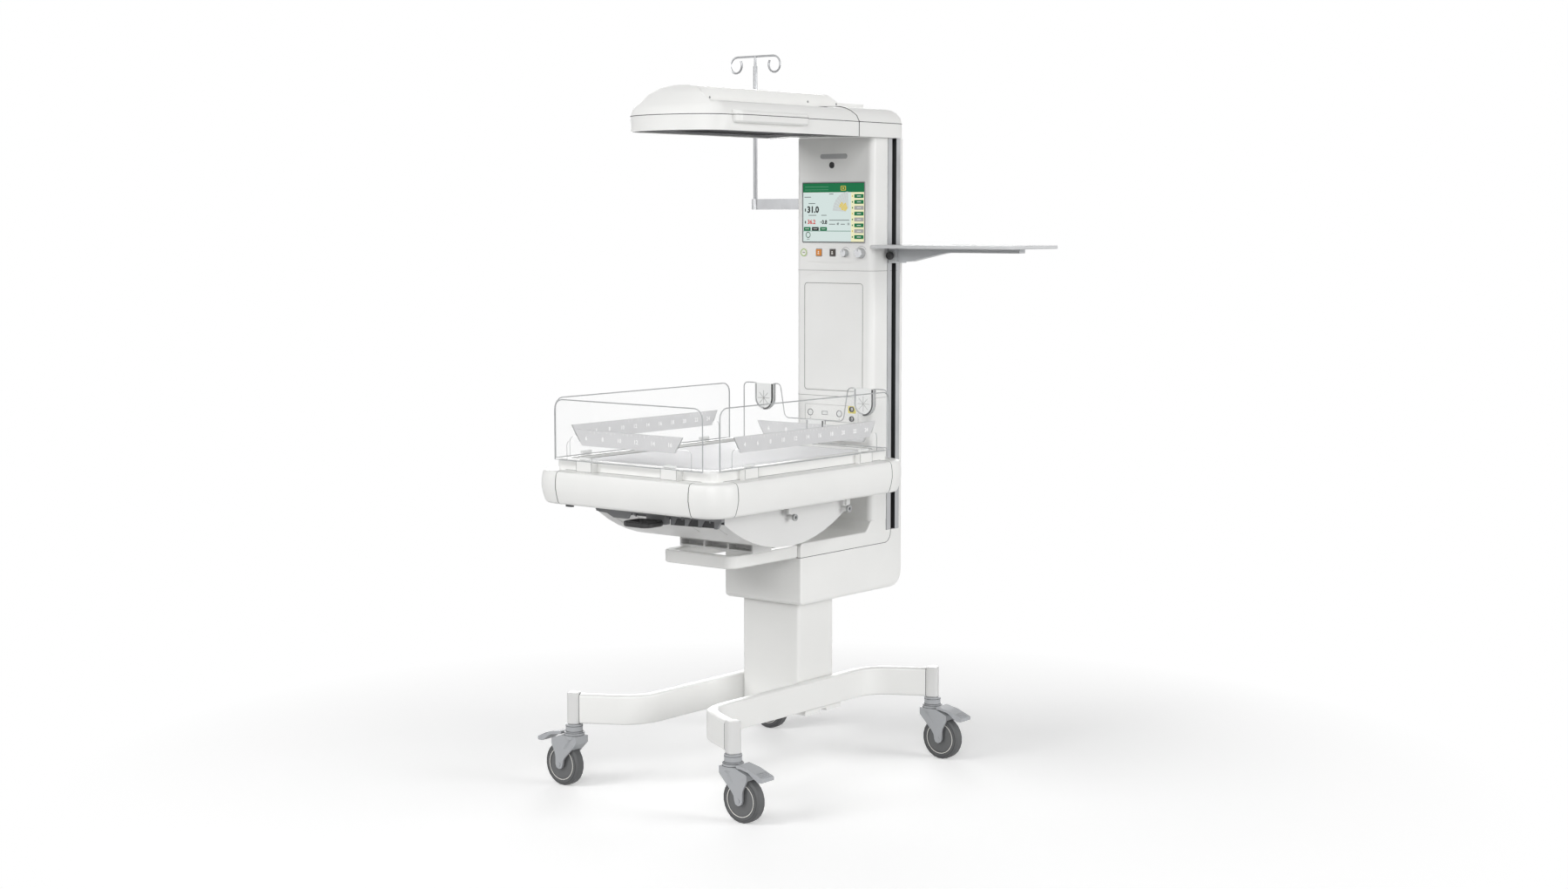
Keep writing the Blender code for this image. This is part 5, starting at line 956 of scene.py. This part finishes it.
def build_back_details():
    """Cover outlines and screws on the back of the tower."""
    back = box("tower_spine")[1].y
    screw = [(0.0050, -0.003), (0.0050, 0.0006), (0.0036, 0.0016), (0.0012, 0.0016),
             (0.0010, 0.0004), (0.0004, 0.0004), (0.0004, -0.003)]
    screw_x, screw_inset = 0.100, 0.014
    outlines = []
    screws = bmesh.new()
    for z0, z1 in ((0.790, 1.235), (1.245, 1.780)):
        outline = rounded(-0.112, 0.112, z0, z1, 0.012)
        outlines.append(lay(outline, facing("Y", 1, MID_X, back, 0.0), 0.0002))
        for side in SIDES:
            for z in (z0 + screw_inset, z1 - screw_inset):
                lathe_into(screws, screw, facing("Y", 1, MID_X + side * screw_x, back, z), 16)
    draw("back_lines", "lift", SEAM, loops(*outlines), 0.0009, ALONG_Y)
    piece("back_screws", screws, "lift", SCREW)


# Casters


def build_casters():
    """Bright rings and dark lines on the wheels, collar lines, cheek ribs and pedal ridges."""
    trail = 0.038
    cheek = 0.0255
    for corner in CORNERS:
        low, high = box("caster_wheel_" + corner)
        middle = (low + high) / 2
        half = (high.y - low.y) / 2
        side = -1 if "left" in corner else 1
        for name, profile, look in (("wheel_ring_", washer(0.0462, 0.0446, -0.0016, 0.0004), MARK),
                                    ("tyre_line_", washer(0.0560, 0.0550, -0.0010, 0.0003), RUBBER)):
            bm = bmesh.new()
            for way in SIDES:
                lathe_into(bm, profile, facing("Y", way, middle.x, middle.y + way * half, middle.z), 40)
            piece(name + corner, bm, "wheel_" + corner, look)

        stem = Vector((middle.x - side * trail, middle.y, 0.0))
        collars = []
        for radius, z in ((0.0291, 0.1515), (0.0291, 0.1585), (0.0246, 0.1625), (0.0246, 0.1775)):
            collars.append([stem + Vector((a, b, z)) for a, b in disc(0.0, 0.0, radius, 32)])
        draw("collar_lines_" + corner, "caster_" + corner, DARK_MARKS_AND_SHADE, loops(*collars), 0.0007, sides=5)
        ribs = bmesh.new()
        for way in SIDES:
            for reach, radius in ((0.0, 0.0010), (0.0065, 0.0013)):
                path = []
                for share in [step / 8 for step in range(9)]:
                    x = -0.022 + reach + 0.034 * share
                    z = 0.146 - reach * 0.3 - 0.034 * share ** 1.6
                    path.append(stem + Vector((side * x, way * cheek, z)))
                tube_into(ribs, path, radius)
        piece("fork_ribs_" + corner, ribs, "caster_" + corner, FORK)
        ridges = []
        for step in range(4):
            x = 0.098 + 0.006 * step
            z = 0.1447 - 0.00265 * step
            ridges.append([stem + Vector((side * x, across, z)) for across in (-0.019, 0.019)])
        draw("pedal_ridges_" + corner, "pedal_" + corner, FORK, lines(*ridges), 0.0009)


# Bed

STRIP = strip_look()


def strip_outline(half, low, high):
    """A scale strip: longer above than below, with rounded lower corners."""
    bend = 0.006
    foot = half - 0.026 - bend
    lower_corners = arc(foot, low + bend, bend, 0, -90, 4) + arc(-foot, low + bend, bend, -90, -180, 4)
    return [(-half, high), (half, high)] + lower_corners


def build_strip(hand, half, low, place, turn, numbers):
    """One grey scale strip with white figures and ticks that show on both faces."""
    high = low + 0.044
    tick_top = high - 0.003
    tick_half = 0.0005
    plate("scale_" + hand, hand + "_side", STRIP, strip_outline(half, low, high), -0.0030, 0.0002, place)
    marks = bmesh.new()
    middle = (low + high) / 2 - 0.001
    margin = 0.045
    pitch = (2 * half - 2 * margin) / (len(numbers) - 1)
    for index, number in enumerate(numbers):
        along = -half + margin + pitch * index
        spot = Matrix.Translation(place(along, middle, -0.0014)) @ turn
        figures_into(marks, str(number), 0.016, spot, 0.0018, 0.0004)
        if number == numbers[-1]:
            break
        for share, tall in ((0.25, 0.0035), (0.5, 0.006), (0.75, 0.0035)):
            left = along + pitch * share - tick_half
            right = along + pitch * share + tick_half
            foot = tick_top - tall
            outline = [(left, foot), (right, foot), (right, tick_top), (left, tick_top)]
            slab_into(marks, outline, -0.0032, 0.0004, place)
    piece("scale_marks_" + hand, marks, hand + "_side", STRIP_MARK)


def build_scales():
    """The scale strips of the four panels."""
    strip_z = 0.994
    end_numbers = range(6, 18, 2)
    side_numbers = range(4, 26, 2)
    front = facing("Y", 1, MID_X, box("panel_front")[1].y, 0.0)
    build_strip("front", 0.198, strip_z, front, UPRIGHT, end_numbers)
    rear = facing("Y", -1, MID_X, box("grommet_left")[0].y + 0.0005, 0.0)
    build_strip("rear", 0.214, box("panel_rear")[0].z + 0.012, rear, UPRIGHT, end_numbers)
    sideways = Matrix.Rotation(math.radians(90), 4, "Z") @ UPRIGHT
    for hand, side in (("left", -1), ("right", 1)):
        low, high = box("panel_" + hand)
        inner = high.x if side < 0 else low.x
        place = facing("X", -side, inner, (low.y + high.y) / 2, 0.0)
        build_strip(hand, 0.318, strip_z, place, sideways, side_numbers)


def build_grommet(name, x, hub_z, top, radius, y0, y1):
    """Slits of one tube grommet, with a grey arc painted as shading on one inner side of its opening and a
    black arc painted as shade on the other.
    """
    slits = []
    for face in (y0 - 0.0002, y1 + 0.0002):
        hub = Vector((x, face, hub_z))
        for c, s in turns(8):
            out = Vector((c, 0.0, s))
            slits.append([hub + out * 0.001, hub + out * radius * 0.66])
    draw("grommet_slits_" + name, "rear_side", SEAM, lines(*slits), 0.0006, sides=5)
    # Painted shade inside the opening: a grey arc on one side, a black arc on the other
    grey_shade_radius = radius * 0.86
    dark_shade_radius = radius * 0.95
    end_z = top - 0.002
    grey_shade_arc = [(x - grey_shade_radius, end_z)] + arc(x, hub_z, grey_shade_radius, 180, 270, 8)
    dark_shade_arc = arc(x, hub_z, dark_shade_radius, 270, 360, 8) + [(x + dark_shade_radius, end_z)]
    faces = [facing("Y", 1, 0.0, face, 0.0) for face in (y0 - 0.0006, y1 + 0.0006)]
    for tag, path, thick, look in (("grey_shade_arc", grey_shade_arc, 0.0022, LENS), ("dark_shade_arc", dark_shade_arc, 0.0024, RUBBER)):
        runs = lines(*[lay(path, face) for face in faces])
        draw(f"grommet_{tag}_{name}", "rear_side", look, runs, thick, ALONG_Y, 8)


def build_panels():
    """Hinge knuckles of the folding panels, polished edges of all four and the grommets of the rear one."""
    for hand, pitch in (("front", 0.310), ("left", 0.516), ("right", 0.516)):
        low, high = box("panel_" + hand)
        along = 1 - PANELS[hand][0]
        reach = Vector((0.0, 0.0, 0.0))
        reach[along] = 0.020
        knuckles = []
        for way in SIDES:
            middle = (low + high) / 2
            middle.z = low.z + 0.007
            middle[along] += way * pitch / 2
            knuckles.append([middle - reach, middle + reach])
        draw(f"panel_{hand}_knuckles", hand + "_side", SILICONE, lines(*knuckles), 0.0046, sides=12)

    half_sheet = 0.0025
    for hand, (axis, way) in PANELS.items():
        low, high = box("panel_" + hand)
        normal = (ALONG_X, ALONG_Y)[axis]
        # Half-way through the sheet, which has its scale strip on one side
        middle = (low + high) / 2
        middle[axis] = (low if way < 0 else high)[axis] - way * half_sheet
        cut = section("panel_" + hand, middle, normal)
        draw(f"panel_{hand}_edge", hand + "_side", EDGE, cut, 0.0016, normal)

    for hand in ("left", "right"):
        low, high = box("grommet_" + hand)
        radius = (high.x - low.x) / 2
        build_grommet(hand, (low.x + high.x) / 2, low.z + radius, high.z, radius, low.y, high.y)
    # A third grommet in the low middle of the rear panel
    x = MID_X + 0.006
    y = centre("grommet_right").y
    top = box("panel_rear")[0].z + 0.069
    radius = 0.0325
    rise = 0.045
    half = 0.0046
    outline = [(-radius, rise)] + arc(0.0, 0.0, radius, 180, 360, 15) + [(radius, rise)]
    place = facing("Y", -1, x, y, top - rise)
    plate("grommet_middle", "rear_side", SILICONE, outline, -half, half, place)
    build_grommet("middle", x, top - rise, top, radius, y - half, y + half)


def build_under_bed():
    """Pegs and brackets on the cradle's sides with painted shadow marks below the bumper, the cross frame's
    apron in painted shade, feet under the bumper and handle ribs.
    """
    low, high = box("cradle")
    caps, dark, plates = (bmesh.new() for _ in range(3))
    for side in SIDES:
        tip = high.x if side > 0 else low.x
        for y, wide in ((-0.149, 0.028), (0.101, 0.010)):
            place = facing("X", side, tip, MID_Y + y, 0.787)
            lathe_into(caps, washer(0.0095, 0.0045, -0.006, 0.0016), place, 20)
            lathe_into(dark, washer(0.0044, 0.0004, -0.004, 0.0004), place, 12)
            slab_into(plates, rounded(-wide, wide * 0.6, 0.011, 0.028, 0.003, 3), -0.0095, -0.002, place)
            # Painted shadow: two dark marks on the front pegs' brackets, just below the bumper
            if y < 0:
                for a0, a1 in ((-0.046, -0.026), (0.006, 0.032)):
                    slab_into(dark, rounded(a0, a1, 0.030, 0.036, 0.001, 2), -0.0095, 0.002, place)
    piece("peg_caps", caps, "bed", LENS)
    piece("peg_brackets", plates, "bed", CRADLE_COAT)
    piece("peg_screws_and_painted_shadow", dark, "bed", DARK_MARKS_AND_SHADE)

    # Apron of the cross frame: pockets painted dark as shade, between ribs whose grey is also darkened as
    # painted shade
    apron = facing("Y", -1, MID_X, MID_Y - 0.441, 0.0)
    top = 0.803
    pockets = [(0.046, top), (0.230, top), (0.214, 0.783), (0.046, 0.779)]
    plate("frame_pockets_painted_shade", "bed", DARK_MARKS_AND_SHADE, pockets, -0.010, -0.004, apron)
    ribs = bmesh.new()
    slab_into(ribs, [(-0.231, top), (-0.100, top), (-0.112, 0.783), (-0.165, 0.783), (-0.190, 0.794),
                     (-0.231, 0.797)], -0.010, -0.001, apron)
    for x in (0.050, 0.100, 0.148, 0.205):
        rib = [(x, top), (x + 0.024, top), (x + 0.010, 0.781), (x, 0.781)]
        slab_into(ribs, rib, -0.009, -0.001, apron)
    piece("frame_ribs", ribs, "bed", SHADED_FRAME_GREY)

    feet = bmesh.new()
    for x in (-0.212, 0.212):
        under = facing("Z", -1, *row(x, -0.566, box("bumper")[0].z))
        slab_into(feet, rounded(-0.012, 0.012, -0.006, 0.006, 0.003, 3), -0.002, 0.005, under)
    piece("bumper_feet", feet, "bed", DARK_MARKS_AND_SHADE)

    low, high = box("tilt_handle")
    inset, count = 0.024, 6
    grip = []
    for step in range(count):
        x = low.x + inset + (high.x - low.x - 2 * inset) * step / (count - 1)
        place = facing("X", 1, x, low.y + 0.009, (low.z + high.z) / 2)
        grip.append(lay(rounded(-0.0082, 0.0082, -0.0062, 0.0062, 0.003, 3), place))
    draw("handle_ribs", "tilt_lever", BLACK, loops(*grip), 0.0011, ALONG_X)


def build_tray_lines():
    """Lines round the tray: painted shade round the mattress in its gap, on the rim's inner edge and at the
    rim's foot, and lines round its clips.
    """
    low, high = box("mattress")
    tray_low, tray_high = box("bed_tray")
    # Painted shade: dark tubes where shade falls in the gap round the mattress, on the rim's inner top edge
    # and where the rim meets the bumper
    for tag, grow, z, radius, corner in (
        ("gap", 0.005, tray_high.z - 0.010, 0.0022, 0.030),
        ("edge", 0.0100, tray_high.z - 0.0004, 0.0008, 0.034),
        ("foot", 0.0342, box("bumper")[1].z + 0.0003, 0.0009, 0.050),
    ):
        outline = rounded(low.x - grow, high.x + grow, low.y - grow, high.y + grow, corner, 6)
        draw("tray_" + tag, "bed", SEAM, loops(lay(outline, facing("Z", 1, 0.0, 0.0, z))), radius)
    bed = centre("mattress")
    clip = ((-0.028, 0.950), (-0.028, 0.923), (0.028, 0.923), (0.028, 0.950))
    clips = []
    for end in (tray_low, tray_high):
        for along in SIDES:
            clips.append(lay(clip, facing("X", 1, end.x, bed.y + along * 0.258, 0.0)))
            clips.append(lay(clip, facing("Y", 1, bed.x + along * 0.155, end.y, 0.0)))
    draw("clip_edges", "bed", SEAM, lines(*clips), 0.0007, (1.0, 1.0, 0.0))


# Mattress

CLOTH_FRAMES = 16
MOST_SWELL = 0.005
CROWN = 0.006
SIDE_PULL = 0.004


def settle(made):
    """Turn what an object's modifiers give into its own mesh."""
    graph = bpy.context.evaluated_depsgraph_get()
    made.data = bpy.data.meshes.new_from_object(made.evaluated_get(graph))
    made.modifiers.clear()


def swell(pad):
    """Cloth simulation under air pressure, without gravity."""
    cloth = pad.modifiers.new("cloth", "CLOTH")
    cloth.settings.use_pressure = True
    cloth.settings.uniform_pressure_force = 4.0
    cloth.settings.effector_weights.gravity = 0.0
    cloth.settings.quality = 5
    cloth.point_cache.frame_start = 1
    cloth.point_cache.frame_end = CLOTH_FRAMES
    for number in range(1, CLOTH_FRAMES + 1):
        bpy.context.scene.frame_set(number)
    settle(pad)
    bpy.context.scene.frame_set(1)


def build_mattress():
    """Foam pad in a coated cover: swollen by a cloth simulation, flat below, with piped edges."""
    low, high = box("mattress")
    middle = (low + high) / 2
    half = (high - low) / 2
    inset = 0.004
    bm = bmesh.new()
    bmesh.ops.create_cube(bm, size=1.0)
    size = high - low - Vector((inset * 2, inset * 2, inset * 2.5))
    bmesh.ops.scale(bm, vec=size, verts=bm.verts)
    bmesh.ops.translate(bm, vec=middle - Vector((0.0, 0.0, inset * 0.8)), verts=bm.verts)
    bmesh.ops.bevel(bm, geom=bm.edges, offset=0.016, segments=4, profile=0.5, affect="EDGES")
    pad = link("mattress_pad", mesh_from("mattress_pad", bm))
    remesh = pad.modifiers.new("remesh", "REMESH")
    remesh.mode = "VOXEL"
    remesh.voxel_size = 0.008
    settle(pad)
    rest = [vertex.co.copy() for vertex in pad.data.vertices]
    swell(pad)
    for vertex, start in zip(pad.data.vertices, rest):
        move = vertex.co - start
        if move.length > MOST_SWELL:
            vertex.co = start + move.normalized() * MOST_SWELL
        across = (vertex.co.x - middle.x) / half.x
        along = (vertex.co.y - middle.y) / half.y
        rise = max(0.0, (vertex.co.z - low.z) / (high.z - low.z))
        crown = math.cos(min(1.0, abs(across)) * math.pi / 2) * math.cos(min(1.0, abs(along)) * math.pi / 2)
        vertex.co.z += CROWN * crown * rise
        pull = SIDE_PULL * math.sin(math.pi * min(1.0, rise))
        vertex.co.x -= across * pull * (1 - along * along)
        vertex.co.y -= along * pull * (1 - across * across)
        vertex.co.z = max(vertex.co.z, low.z)
    pad.data.materials.clear()
    pad.data.materials.append(fabric_look().material)
    smooth = pad.modifiers.new("smooth", "SUBSURF")
    smooth.levels = 1
    smooth.render_levels = 1
    pad.data.shade_smooth()
    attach(pad, "bed")
    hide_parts("mattress")
    reach = 0.0035
    outline = rounded(low.x + reach, high.x - reach, low.y + reach, high.y - reach, 0.020, 5)
    edges = [lay(outline, facing("Z", 1, 0.0, 0.0, z)) for z in (high.z - 0.016, low.z + 0.010)]
    seam = draw("mattress_piping", "bed", SILICONE, loops(*edges), 0.0022, sides=8)


# Studio

WHITE_LIGHT = (1.0, 1.0, 1.0, 1.0)
SOFT_LIGHT = 0.05
FLOOR_R = 3.2
FLOOR_GLOW = 0.28
FLOOR_COLOUR = (0.78, 0.78, 0.78, 1.0)
FLOOR_SEEN = (0.90, 0.90, 0.90, 1.0)
LAMP_SIZE = 4.5
# Each lamp's place, the height of the point that it looks at, and its power
LAMPS = {
    "key": ((4.5, -6.9, 3.8), 1.0, 312.0),
    "front": ((-2.4, -6.6, 4.6), 0.9, 282.0),
    "right": ((7.5, 2.4, 2.3), 1.0, 330.0),
    "back": ((-5.4, 6.3, 2.4), 1.0, 275.0),
    "top": ((0.4, -1.2, 6.6), 0.0, 42.0),
}
PHOTO_WIDTH = 1800
FOCAL_PIXELS = 2597.14
SENSOR = 36.0
EYE = (4.1280, -5.0681, 1.6117)
EYE_TILT = math.radians(84.3438)
EYE_TURN = math.radians(38.5018)


def build_surroundings(scene):
    """A faint soft light on the object, and white wherever the background shows."""
    scene.world = bpy.data.worlds.new("studio")
    scene.world.use_nodes = True
    sky = Nodes(scene.world.node_tree)
    soft = sky.node("ShaderNodeBackground", Color=WHITE_LIGHT, Strength=SOFT_LIGHT).outputs[0]
    white = sky.node("ShaderNodeBackground", Color=WHITE_LIGHT, Strength=1.0).outputs[0]
    mixed = sky.first(sky.node("ShaderNodeMixShader"), sky.seen(), soft, white)
    sky.feed(sky.tree.nodes["World Output"].inputs["Surface"], mixed)


def build_floor():
    """Keeps the shadows near the object, is white where it is lit and plain white further out."""
    bm = bmesh.new()
    bmesh.ops.create_circle(bm, cap_ends=True, segments=64, radius=FLOOR_R)
    floor = link("studio_floor", mesh_from("studio_floor", bm))
    floor.location.z = -0.0005
    look = Look("studio_floor", FLOOR_COLOUR, 0.9, specular=0.0)
    x, y = look.axes()[:2]
    reach = look.math("SQRT", look.math("ADD", look.math("POWER", x, 2.0), look.math("POWER", y, 2.0)))
    fade = look.span(reach, 0.0, 1.0, FLOOR_R * 0.30, FLOOR_R * 0.66)
    seen = look.seen()
    look.set("Base Color", look.mix(seen, FLOOR_COLOUR, FLOOR_SEEN))
    faint = look.node("ShaderNodeEmission", Strength=look.math("MULTIPLY", seen, FLOOR_GLOW)).outputs[0]
    lit_floor = look.first(look.node("ShaderNodeAddShader"), look.shader.outputs[0], faint)
    plain = look.node("ShaderNodeEmission", Color=WHITE_LIGHT, Strength=1.0).outputs[0]
    mixed = look.first(look.node("ShaderNodeMixShader"), look.math("MULTIPLY", fade, seen), lit_floor, plain)
    look.feed(look.tree.nodes["Material Output"].inputs["Surface"], mixed)
    floor.data.materials.append(look.material)


def build_studio():
    """Pale floor, soft lamps, white surroundings for the camera and the photograph's camera."""
    scene = bpy.context.scene
    scene.view_settings.view_transform = "Standard"
    build_surroundings(scene)
    build_floor()
    for name, (place, aim_z, power) in LAMPS.items():
        light = bpy.data.lights.new(name, "AREA")
        light.shape = "DISK"
        light.size = LAMP_SIZE
        light.energy = power
        lamp = link(name, light)
        lamp.location = place
        lamp.rotation_euler = (Vector((0.0, 0.0, aim_z)) - Vector(place)).to_track_quat("-Z", "Y").to_euler()
    camera = bpy.data.cameras.new("photo_view")
    camera.sensor_width = SENSOR
    camera.lens = FOCAL_PIXELS / PHOTO_WIDTH * SENSOR
    camera.clip_end = 200.0
    eye = link("photo_view", camera)
    eye.location = row(*EYE)
    eye.rotation_euler = (EYE_TILT, 0.0, EYE_TURN)
    scene.camera = eye


smooth_nodes()
build_studio()
build_screen()
build_controls()
build_tower_details()
build_hood_details()
build_back_details()
build_casters()
build_seams()
build_scales()
build_panels()
build_under_bed()
build_tray_lines()
build_mattress()
